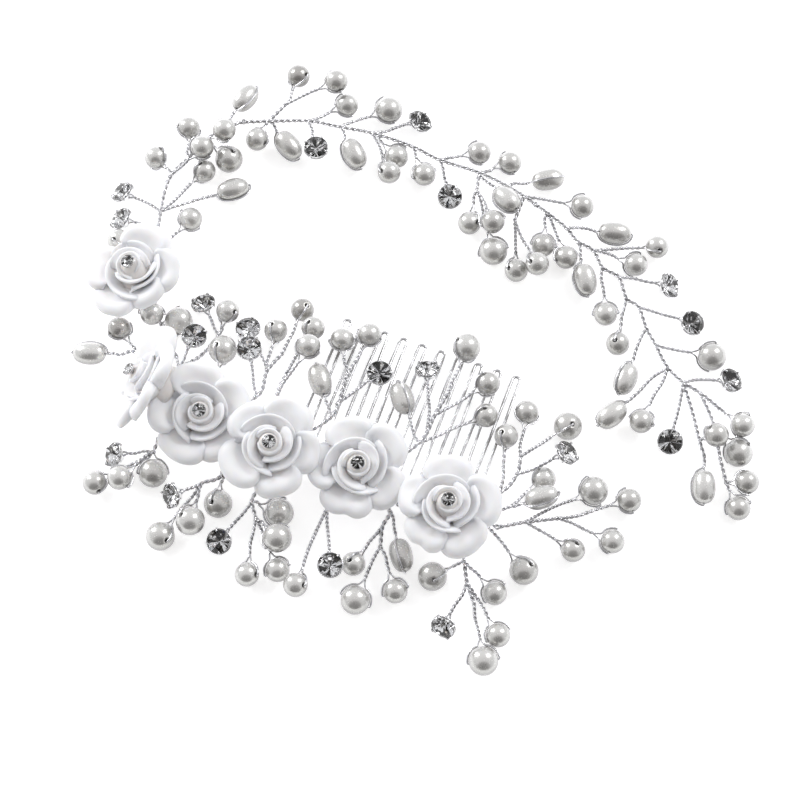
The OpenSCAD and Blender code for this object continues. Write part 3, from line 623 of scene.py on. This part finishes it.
def bead_frame(bead):
    """A bead's own frame: +X along its twig, away from the root. A round pearl's bore runs along Y."""
    place, root = Vector(bead[1]), Vector(bead[2])
    way = place - root
    bearing = math.atan2(way.y, way.x)
    climb = math.atan2(way.z, math.hypot(way.x, way.y))
    return Matrix.Translation(place) @ Matrix.Rotation(bearing, 4, "Z") @ Matrix.Rotation(-climb, 4, "Y")


def crystal_frame(bead):
    """A crystal's own frame: +Z out of its face, which leans away from the twig's root."""
    place, root = Vector(bead[1]), Vector(bead[2])
    bearing = math.atan2(place.y - root.y, place.x - root.x)
    lean = math.radians(bead[3])
    return Matrix.Translation(place) @ Matrix.Rotation(bearing, 4, "Z") @ Matrix.Rotation(lean, 4, "Y")


def rose_frame(name, height=0.0):
    """A rose's own frame, at a height above the middle of its base."""
    base, lean, toward = ROSES[name][:3]
    turn = math.radians(toward)
    return (
        Matrix.Translation(Vector(base))
        @ Matrix.Rotation(turn, 4, "Z")
        @ Matrix.Rotation(math.radians(lean), 4, "Y")
        @ Matrix.Rotation(-turn, 4, "Z")
        @ Matrix.Translation((0, 0, height))
    )


def moved(points, at):
    """Points carried by a matrix."""
    turn = np.array(at)
    return np.asarray(points, float) @ turn[:3, :3].T + turn[:3, 3]


def twist(path, last_side, wire_d, pitch):
    """The two strands of a twisted pair along a path, ending either side of last_side."""
    steps = np.linalg.norm(np.diff(path, axis=0), axis=1)
    left = np.concatenate([np.cumsum(steps[::-1])[::-1], [0]])
    u, v = frames_back(path, last_side)
    turn = (left * 2 * math.pi / pitch)[:, None]
    swing = (u * np.cos(turn) + v * np.sin(turn)) * wire_d / 4
    return path + swing, path - swing


def bowed(start, end, amount, rng):
    """Gently bent line from start to end."""
    start, end = np.asarray(start, float), np.asarray(end, float)
    way = end - start
    side = unit(np.cross(way, (0, 0, 1)) + 1e-6)
    bow = rng.uniform(-amount, amount)
    lift = rng.uniform(-0.3, 0.3) * amount
    wiggle = rng.uniform(-0.35, 0.35) * amount
    a = start + way * 0.35 + side * (bow + wiggle) + np.array((0, 0, lift))
    b = start + way * 0.7 + side * (bow * 0.6 - wiggle) + np.array((0, 0, lift))
    return [start, a, b, end]


def bead_roll(bead):
    """How far a bead's bore is turned about its twig: most lie flat, some face up."""
    rng = random.Random(f"roll {bead[1]}")
    usual = rng.choice([-12, -4, 3, 8, 14, 38, -44, 62, -68, 20])
    return math.radians(usual + rng.uniform(-5, 5))


def add_twig(shape, bead):
    """Twisted twig from its root to its bead, opening into the loop that holds the bead."""
    rng = random.Random(f"twig {bead[1]}")
    kind = bead[0]
    at = bead_frame(bead)
    if kind != "crystal":
        at = at @ Matrix.Rotation(bead_roll(bead), 4, "X")
    radius = TWIG_STRAND_R
    pitch = rng.uniform(1.7, 2.3)
    if kind in BEAD_D:
        hug = BEAD_D[kind] / 2 + radius + 0.08
        neck = -hug - 1.0
    elif kind == "rice":
        hug = RICE_LENGTH / 2
        neck = -hug - 0.9
    else:
        hug = CRYSTAL_D / 2
        neck = -hug - 0.5
    neck_point = moved([(neck, 0, 0)], at)[0]
    side = np.array(at.to_3x3() @ Vector((0, 1, 0)))
    trunk = smooth_path(bowed(bead[2], neck_point, 0.45, rng), 0.2)
    for strand, sign in zip(twist(trunk, side, 4 * radius, pitch), (1, -1)):
        if kind in BEAD_D:
            loop = [(neck + 0.35, sign * 0.32, 0)]
            for a in np.radians([14, 34, 56, 76, 90]):
                loop.append((-hug * math.cos(a), sign * hug * math.sin(a), 0))
            loop += [(0.1, sign * (hug - 0.3), 0), (0.02, sign * (hug - 0.8), 0), (0, 0, 0)]
        elif kind == "rice" and sign > 0:
            loop = [(neck + 0.4, 0.06, 0), (-hug + 0.2, 0, 0), (0, 0, 0), (hug, 0, 0)]
        elif kind == "rice":
            clear = radius + 0.06
            loop = [(neck + 0.4, -0.28, 0)]
            for a in np.radians([22, 40, 60, 80, 100, 120, 140, 156]):
                swell = (RICE_D / 2 + clear) * math.sin(a) ** 0.8
                loop.append((-(hug + clear) * math.cos(a), -swell, 0))
            loop += [(hug + 0.3, -0.45, 0), (hug + 0.28, -0.05, 0), (hug - 0.3, 0, 0)]
        else:
            loop = [
                (neck + 0.5, sign * 0.4, -0.1),
                (-hug + 0.5, sign * 0.6, -0.5),
                (-hug + 1.4, sign * 0.5, -0.9),
            ]
        path = np.vstack([strand[:-1], smooth_path([strand[-1]] + list(moved(loop, at)), 0.2)])
        shape.add(*tube(path, radius))


def add_stems(shape, group):
    """Main wires of one group: tightly twisted pairs, with a wound knot where the next one bends."""
    knots = [LINES[name][0][0] for name in KNOTS.get(group, [])]
    for number, line in enumerate(LINES[group]):
        points = [np.asarray(p, float) for p in line]
        if number == 0 and group != "crown":
            points[0] = points[0] + unit(points[1] - points[0]) * KNOT_GAP
        if any(np.allclose(points[-1], k) for k in knots):
            points[-1] = points[-1] - unit(points[-1] - points[-2]) * KNOT_STOP
        path = smooth_path(points, 0.22)
        last_side = np.cross(along(path)[-1], (0, 0, 1))
        for strand in twist(path, unit(last_side), STEM_PAIR, STEM_PITCH):
            shape.add(*tube(strand, STEM_STRAND_R, 7))
    for knot in knots:
        add_knot(shape, knot)


def add_knot(shape, place):
    """Upright coil of fine wire around the end of a stem."""
    turns, wire, radius, half = 4, 0.3, 0.42, 0.45
    t = np.linspace(0, turns * 2 * math.pi, turns * 16)
    coil = np.stack([radius * np.cos(t), radius * np.sin(t), np.linspace(-half, half, len(t))], axis=1)
    shape.add(*tube(coil + np.asarray(place, float), wire / 2))


def round_pearl(d, rng):
    """Round pearl with a rounded mouth at each end of its bore, which runs along Z. A trifle uneven."""
    r = d / 2
    bore = BORE_D / 2
    mouth = math.asin((bore + 0.1) / r)
    angles = np.linspace(mouth, math.pi - mouth, 26)
    profile = [(r * math.sin(a), r * math.cos(a)) for a in angles]
    top = profile[0][1]
    inner = [(bore, -top + 0.16), (bore, -r * 0.5), (bore, r * 0.5), (bore, top - 0.16)]
    verts, faces = lathe(profile + inner, 36)
    seed = Vector([rng.uniform(0, 50) for _ in range(3)])
    for i, p in enumerate(verts):
        q = Vector(p)
        verts[i] = p * (1 + 0.011 * noise.noise(q * 0.55 + seed))
    return verts, faces


def rice_pearl(rng):
    """Long pearl: blunt barrel with a bore along Z, fuller on one side than the other."""
    half, r, bore = RICE_LENGTH / 2, RICE_D / 2, BORE_D / 2
    profile = []
    mouth = 0.16
    for a in np.linspace(mouth, math.pi - mouth, 28):
        blunt = math.copysign(abs(math.cos(a)) ** 0.92, math.cos(a))
        profile.append((r * math.sin(a) ** 0.80, half * blunt))
    top = profile[0][1]
    inner = [(bore, -top + 0.2), (bore, -half * 0.5), (bore, half * 0.5), (bore, top - 0.2)]
    verts, faces = lathe(profile + inner, 36)
    seed = Vector([rng.uniform(0, 50) for _ in range(3)])
    taper = rng.uniform(-0.035, 0.035)
    for i, p in enumerate(verts):
        lump = 1 + 0.03 * noise.noise(Vector(p) * 0.4 + seed) + taper * p[2] / half
        verts[i] = p * np.array((lump, lump, 1))
    return verts, faces


def add_beads(shape, group, kind):
    """The pearls of one kind in one group. Each has a greyness of its own."""
    for bead in BEADS[group]:
        if bead[0] != kind:
            continue
        rng = random.Random(f"bead {bead[1]}")
        at = bead_frame(bead) @ Matrix.Rotation(bead_roll(bead), 4, "X")
        dark = rng.choice([0.0, 0.06, 0.12, 0.2, 0.3, 0.1])
        if bead[1] in DARK_PEARLS:
            dark = DARK_PEARL_SHADE
        if kind == "rice":
            verts, faces = rice_pearl(rng)
            at = at @ Matrix.Rotation(math.pi / 2, 4, "Y")
        else:
            verts, faces = round_pearl(BEAD_D[kind], rng)
            at = at @ Matrix.Rotation(math.pi / 2, 4, "X")
        shape.add(verts, faces, 0, dark, at)


# ---------------------------------------------------------------- cut stones in their cups

# material slots of a stone; the third is near black, a painted dark reflection on some back facets
CLEAR, FOIL, PAINTED_DARK_REFLECTION = 0, 1, 2
# share of back facets that get the painted dark reflection
PAINTED_DARK_REFLECTION_SHARE = 0.32


def stone_rings(d):
    """Rings of a brilliant cut, from the table down to the culet: (radius, height, count, turn)."""
    return [
        (0.27 * d, 0.165 * d, 8, 0.5),
        (0.40 * d, 0.095 * d, 8, 0.0),
        (0.50 * d, 0.012 * d, 16, 0.0),
        (0.50 * d, -0.022 * d, 16, 0.0),
        (0.33 * d, -0.135 * d, 8, 0.5),
        (0.16 * d, -0.29 * d, 8, 0.0),
        (0.02 * d, -0.40 * d, 6, 0.0),
    ]


def foil_slot(facet, rng):
    """The back facets are mirrors, and some of them, picked by chance, are near black: painted dark
    reflections.
    """
    if facet.normal.z > -0.2:
        return CLEAR
    return PAINTED_DARK_REFLECTION if rng.random() < PAINTED_DARK_REFLECTION_SHARE else FOIL


def cut_stone(d, rng):
    """Flat-faceted stone as the hull of its rings. Returns vertices, faces and the faces' slots."""
    bm = bmesh.new()
    for radius, height, count, turn in stone_rings(d):
        for k in range(count):
            a = (k + turn) * 2 * math.pi / count
            bm.verts.new((radius * math.cos(a), radius * math.sin(a), height))
    bmesh.ops.convex_hull(bm, input=bm.verts)
    bmesh.ops.dissolve_limit(bm, angle_limit=0.01, verts=bm.verts, edges=bm.edges)
    bm.normal_update()
    bm.verts.index_update()
    verts = [tuple(v.co) for v in bm.verts]
    faces = [[v.index for v in f.verts] for f in bm.faces]
    slots = [foil_slot(f, rng) for f in bm.faces]
    bm.free()
    return verts, faces, slots


def add_stone(shape, d, at):
    """One stone. Its near-black back facets, a painted dark reflection, are drawn by chance from its place.
    """
    place = tuple(round(c, 2) for c in at.translation)
    verts, faces, slots = cut_stone(d, random.Random(f"stone {place}"))
    shape.add(verts, faces, CLEAR, 0.0, at)
    shape.slots[-len(faces):] = slots


def add_cup(shape, d, at):
    """Open claw cup: a pierced cone, two rolled gallery rings and four claws bent over the girdle."""
    rim = d * 0.53
    wall = d * 0.028
    outer = [(d * 0.26, -d * 0.46), (d * 0.36, -d * 0.35), (d * 0.47, -d * 0.22), (rim, -d * 0.13)]
    inner = [(r - wall * 1.6, z + wall * 0.6) for r, z in outer[::-1]]
    shape.add(*lathe(outer + inner, 32), at=at)
    for height, radius, thick in ((-0.13, 0.53, 0.026), (-0.05, 0.525, 0.020)):
        circle = [(d * radius + d * thick * math.cos(a), d * height + d * thick * math.sin(a))
                  for a in np.linspace(0, 2 * math.pi, 9)[:-1]]
        shape.add(*lathe(circle, 48), at=at)
    for k in range(4):
        a = math.radians(45 + 90 * k)
        side = [(0.50, -0.24), (0.545, -0.12), (0.548, 0.0), (0.53, 0.06), (0.475, 0.10), (0.42, 0.125)]
        path = [(d * r * math.cos(a), d * r * math.sin(a), d * z) for r, z in side]
        path = smooth_path(path, d * 0.03)
        thick = d * 0.052 * (1 - 0.45 * np.linspace(0, 1, len(path)) ** 3)
        shape.add(*tube(path, thick, 8), at=at)


# ---------------------------------------------------------------- roses


def outer_petal(away, half, reach, lift, dimple, notch, rng):
    """One open petal: narrow foot, broad blade, rim curling out and down, one side over its neighbour."""
    rows, cols, foot = 15, 17, 2.4
    t = np.linspace(0, 1, 80)
    slope = np.radians(44 - 26 * t - 112 * np.clip((t - 0.62) / 0.38, 0, None) ** 1.5)
    run = np.concatenate([[0], np.cumsum(np.cos(slope))[:-1]])
    rise = np.concatenate([[0], np.cumsum(np.sin(slope))[:-1]])
    rise = rise / rise.max() * lift
    run = run / run.max()
    v = np.linspace(0, 1, rows)[:, None]
    u = np.linspace(-1, 1, cols)[None, :]
    nick = rng.uniform(-0.35, 0.35)
    edge = reach * (1 - 0.05 * u**2 - 0.25 * np.abs(u) ** 4)
    edge = edge - notch * np.exp(-(((u - nick) / 0.16) ** 2))
    wave = 0.16 * np.sin(3.1 * u + rng.uniform(0, 6)) * v**3
    r = foot + (edge + wave - foot) * np.interp(v, t, run)
    z = 1.4 + np.interp(v, t, rise) + 0 * u
    z += 0.75 * u * v - 1.0 * np.abs(u) ** 4 * v**2
    hollow = rng.uniform(-0.25, 0.25)
    z -= dimple * np.exp(-(((u - hollow) / 0.42) ** 2) - (((v - 0.74) / 0.16) ** 2))
    z += 0.22 * np.sin(2.2 * u + rng.uniform(0, 6)) * v
    angle = np.radians(away) + np.radians(half) * u * (0.66 + 0.34 * np.sin(math.pi / 2 * v**0.8))
    middle = np.stack([r * np.cos(angle), r * np.sin(angle), z], axis=2)
    wall = 1.05 - 0.50 * v**2 + 0 * u
    # painted crease shade: full at the petal's foot, fading to none about halfway up
    shade = np.clip(1.35 - v / 0.36, 0, 1) + 0 * u
    return shell(middle, wall, shade)


def wrapped_petal(start, sweep, r_in, r_out, top, height, lean, rng):
    """Standing petal that wraps part of the way round the middle and opens outwards to a thin rim."""
    rows, cols = 10, 25
    v = np.linspace(0, 1, rows)[:, None]
    u = np.linspace(0, 1, cols)[None, :]
    ends = np.abs(2 * u - 1) ** 5
    angle = np.radians(start + sweep * u) + 0 * v
    rim = r_in + (r_out - r_in) * u**1.3 + 0.16 * np.sin(6 * u + rng.uniform(0, 6)) * v
    r = rim - lean * (1 - v) ** 1.15 + 0.30 * v**8
    z = top - height * (1 - v) ** 1.3 - 0.22 * v**8 - 0.42 * height * ends * v**2
    z = z + 0.20 * np.sin(4 * u + rng.uniform(0, 6)) * v
    middle = np.stack([r * np.cos(angle), r * np.sin(angle), z], axis=2)
    wall = 0.95 - 0.40 * v + 0 * u
    # painted crease shade: full at the petal's foot, fading to none about two thirds of the way up
    shade = np.clip(1.15 - v / 0.60, 0, 1) + 0 * u
    return shell(middle, wall, shade)


def clay_core():
    """Solid middle under the petals, closed below by a low pad."""
    pad = [(0.001, 0.0), (4.2, 0.0), (5.1, 0.5), (5.4, 1.3), (4.9, 2.3), (3.6, 3.1)]
    bud = [(2.9, 4.6), (2.4, 6.6), (2.2, 8.1), (1.6, BUD_H - 0.15), (0.001, BUD_H - 0.1)]
    return lathe(pad + bud, 32, closed=False)


# standing petals: start and sweep in degrees, inner and outer radius, height of the rim
STANDING_PETALS = (
    (0, 165, 5.2, 7.2, 7.0),
    (135, 130, 5.0, 6.2, 7.4),
    (255, 120, 5.2, 6.6, 7.1),
    (60, 185, 3.4, 5.2, 8.1),
    (235, 170, 3.6, 4.8, 8.0),
)


def make_rose(name):
    """Outer petals, standing petals, one tight petal round the bud, and the core under them all."""
    rng = random.Random(name)
    outer, turn = ROSES[name][3:]
    shape = Shape()
    at = rose_frame(name)
    for away, half, reach, lift, dimple, notch in outer:
        verts, faces, shade = outer_petal(away, half, reach, lift, dimple, notch, rng)
        shape.add(verts, faces, 0, shade, at)
    for start, sweep, r_in, r_out, top in STANDING_PETALS:
        verts, faces, shade = wrapped_petal(turn + start, sweep, r_in, r_out, top, 5.4, 2.6, rng)
        shape.add(verts, faces, 0, shade, at)
    verts, faces, shade = wrapped_petal(turn + 160, 345, 2.0, 3.0, 8.95, 4.2, 0.8, rng)
    # the tight petal round the bud gets 0.6 of the painted crease shade
    shape.add(verts, faces, 0, shade * 0.6, at)
    # the core has an even painted crease shade of 0.75
    verts, faces = clay_core()
    shape.add(verts, faces, 0, 0.75, at)
    return shape


# ---------------------------------------------------------------- the comb


def tooth_x(i):
    return (i - (TOOTH_COUNT - 1) / 2) * TOOTH_PITCH


def add_tooth(shape, i):
    """Hairpin of one wire: down one leg, round the tip and back up, a little wavy like bent wire."""
    rng = random.Random(f"tooth {i}")
    bend, foot = TOOTH_PITCH * 0.18, TOOTH_PITCH * 0.27
    knee = TOOTH_LENGTH - bend - TOOTH_WIRE / 2
    legs = []
    for side in (-1, 1):
        sway, phase = rng.uniform(0.05, 0.14), rng.uniform(0, 6)
        leg = []
        for t in np.linspace(0, 1, 12):
            x = side * (foot + (bend - foot) * t) + sway * math.sin(5 * t + phase) * math.sin(math.pi * t)
            leg.append((x, -1.5 + (knee + 1.5) * t, 0.06 * math.sin(4 * t + phase)))
        legs.append(leg)
    around = np.radians([30, 60, 90, 120, 150])
    arc = [(-bend * math.cos(a), knee + bend * math.sin(a), 0) for a in around]
    path = smooth_path(legs[0] + arc + legs[1][::-1], 0.35)
    at = Matrix.Translation((tooth_x(i), 0, 0)) @ Matrix.Rotation(math.radians(-TOOTH_SLOPE), 4, "X")
    shape.add(*tube(path, TOOTH_WIRE / 2 * 0.92, 8), at=at)


def make_spine():
    """Two rods with rounded ends, one above and one below the teeth."""
    shape = Shape()
    half = ((TOOTH_COUNT - 1) * TOOTH_PITCH + 5) / 2
    lift = (TOOTH_WIRE + SPINE_ROD) / 2 + 0.12
    r = SPINE_ROD / 2
    caps = [(r * math.sin(a), half + r * math.cos(a)) for a in np.linspace(0.02, math.pi / 2, 6)]
    body = [(r * (1 - 0.012 * (k % 2)), half - 2 * half * k / 40) for k in range(1, 40)]
    profile = caps + body + [(x, -y) for x, y in caps[::-1]]
    turn = Matrix.Rotation(math.pi / 2, 4, "Y")
    for side in (-1, 1):
        verts, faces = lathe(profile, 20, closed=False)
        shape.add(verts, faces, at=Matrix.Translation((0, 0, side * lift)) @ turn)
    return shape


def make_binding():
    """Fine wire wound round both rods, four turns in each gap between the teeth."""
    shape = Shape()
    wire, turns, half = 0.36, 4, 0.62
    reach = TOOTH_WIRE / 2 + SPINE_ROD + 0.40
    narrow = SPINE_ROD / 2 + 0.30
    for i in range(TOOTH_COUNT - 1):
        x = tooth_x(i) + TOOTH_PITCH / 2
        t = np.linspace(0, turns * 2 * math.pi, turns * 22)
        across = np.linspace(-half, half, len(t))
        coil = np.stack([across, narrow * np.cos(t), reach * np.sin(t)], axis=1)
        shape.add(*tube(coil + np.array((x, 0, 0)), wire / 2))
    return shape


# ---------------------------------------------------------------- putting the pieces in place

place_piece("comb_spine", make_spine(), "comb", [comb_wire])
place_piece("spine_binding", make_binding(), "comb", [silver])
teeth = Shape()
for i in range(TOOTH_COUNT):
    add_tooth(teeth, i)
place_piece("comb_teeth", teeth, "comb", [comb_wire])

for name in ROSES:
    body = "vine_1" if name == "rose_1" else "comb"
    place_piece(name, make_rose(name), body, [clay], levels=1)


def place_stones(prefix, many, places, nominal_d, body):
    """Crystals of one size and their cups, as two pieces."""
    stones, cups = Shape(), Shape()
    d = nominal_d * STONE_FIT
    for at in places:
        add_stone(stones, d, at)
        add_cup(cups, d, at)
    looks = [crystal, foil, painted_dark_reflection]
    flat = (CLEAR, FOIL, PAINTED_DARK_REFLECTION)
    place_piece(f"{prefix}crystal{many}", stones, body, looks, flat_slots=flat)
    place_piece(f"{prefix}cup{many}", cups, body, [cup_metal])


for prefix, many, names, body in (
    ("rose_1_", "", ["rose_1"], "vine_1"),
    ("rose_", "s", ["rose_2", "rose_3", "rose_4", "rose_5", "rose_6"], "comb"),
):
    stone_height = BUD_H + ROSE_STONE_SEAT * ROSE_CRYSTAL_D
    places = [rose_frame(name, stone_height) for name in names]
    place_stones(prefix, many, places, ROSE_CRYSTAL_D, body)

# a node's name has an s at its end when the group has more than one of that kind
nodes = set(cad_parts)
for group, beads in BEADS.items():
    body = "comb" if group == "crown" else group
    for kind, stem in (("pearl", "pearl"), ("large", "large_pearl"), ("rice", "rice_pearl")):
        for node in (f"{group}_{stem}", f"{group}_{stem}s"):
            if node in nodes:
                shape = Shape()
                add_beads(shape, group, kind)
                place_piece(node, shape, body, [rice if kind == "rice" else pearl])
    for many in ("", "s"):
        if f"{group}_crystal{many}" in nodes:
            places = [crystal_frame(bead) for bead in beads if bead[0] == "crystal"]
            place_stones(f"{group}_", many, places, CRYSTAL_D, body)

    # a spray's main wire and twigs are one node; elsewhere they are two
    wires = Shape()
    add_stems(wires, group)
    in_one = f"{group}_wires" in nodes
    twigs = wires if in_one else Shape()
    for bead in beads:
        add_twig(twigs, bead)
    if in_one:
        place_piece(f"{group}_wires", wires, body, [silver])
    else:
        stem = "stems" if group == "crown" else "stem"
        place_piece(f"{group}_{stem}", wires, body, [silver])
        place_piece(f"{group}_twigs", twigs, body, [silver])

# ---------------------------------------------------------------- floor, light and camera

# in metres from here on
FLOOR_Z = cad_box[0][2] - 0.0006
FLOOR_HALF = 3.0
FLOOR_GLOW = 0.55
LIGHT_DISTANCE = 0.75
LIGHT_SIZE = (0.22, 0.30)
LIGHT_AIM = (0.0, 0.025, 0.0)


def make_floor():
    """Pale floor just under the lowest wire. It gives a little light of its own, so it looks near white."""
    mesh = bpy.data.meshes.new("floor")
    half = FLOOR_HALF
    corners = ((-half, -half), (half, -half), (half, half), (-half, half))
    mesh.from_pydata([(x, y, FLOOR_Z) for x, y in corners], [], [(0, 1, 2, 3)])
    material, tree, shader = new_material("pale_floor")
    tint = ramp(tree, noise_of(tree, 3, 2), [(0.4, (0.97, 0.97, 0.97)), (0.6, (0.985, 0.985, 0.985))])
    tree.links.new(tint, shader.inputs["Base Color"])
    shader.inputs["Roughness"].default_value = 0.9
    shader.inputs["Specular IOR Level"].default_value = 0.1
    tree.links.new(tint, shader.inputs["Emission Color"])
    shader.inputs["Emission Strength"].default_value = FLOOR_GLOW
    mesh.materials.append(material)
    floor = bpy.data.objects.new("floor", mesh)
    bpy.context.scene.collection.objects.link(floor)


def area_light(name, toward, power):
    """Soft box that shines on the part from a direction."""
    light = bpy.data.lights.new(name, "AREA")
    light.shape = "RECTANGLE"
    light.size, light.size_y = LIGHT_SIZE
    light.energy = power
    lamp = bpy.data.objects.new(name, light)
    way = Vector(toward).normalized()
    lamp.location = Vector(LIGHT_AIM) + way * LIGHT_DISTANCE
    lamp.rotation_euler = way.to_track_quat("Z", "Y").to_euler()
    bpy.context.scene.collection.objects.link(lamp)


def room():
    """Pale room that is darker behind the photographer, on the -Y side."""
    world = bpy.data.worlds.new("room")
    world.use_nodes = True
    tree = world.node_tree
    back = tree.nodes["Background"]
    where = tree.nodes.new("ShaderNodeTexCoord")
    part = tree.nodes.new("ShaderNodeVectorMath")
    part.operation = "DOT_PRODUCT"
    part.inputs[1].default_value = Vector((0.28, -0.85, 0.45)).normalized()
    tree.links.new(where.outputs["Generated"], part.inputs[0])
    walls = [
        (0.0, (0.55, 0.55, 0.56)),
        (0.62, (0.50, 0.50, 0.51)),
        (0.80, (0.08, 0.074, 0.068)),
        (1.0, (0.03, 0.028, 0.026)),
    ]
    shade = ramp(tree, part.outputs["Value"], walls)
    tree.links.new(shade, back.inputs["Color"])
    back.inputs["Strength"].default_value = 1.45
    bpy.context.scene.world = world


def make_camera():
    """Camera at the photograph's angle: 20 degrees round from the front and 70 degrees up."""
    azimuth, height, distance = math.radians(20), math.radians(70), 0.480
    target = Vector((-0.0022, 0.0205, 0.0))
    level = math.cos(height)
    way = Vector((math.sin(azimuth) * level, -math.cos(azimuth) * level, math.sin(height)))
    lens = bpy.data.cameras.new("camera")
    lens.lens = 103.7
    lens.sensor_width = 36
    lens.clip_start = 0.01
    camera = bpy.data.objects.new("camera", lens)
    camera.location = target + way * distance
    camera.rotation_euler = way.to_track_quat("Z", "Y").to_euler()
    bpy.context.scene.collection.objects.link(camera)
    bpy.context.scene.camera = camera


make_floor()
room()
area_light("left_box", (-0.862, 0.262, 0.428), 2.15)
area_light("right_box", (0.406, 0.607, 0.685), 1.7)
make_camera()
bpy.context.scene.view_settings.view_transform = "Standard"

bpy.context.view_layer.update()
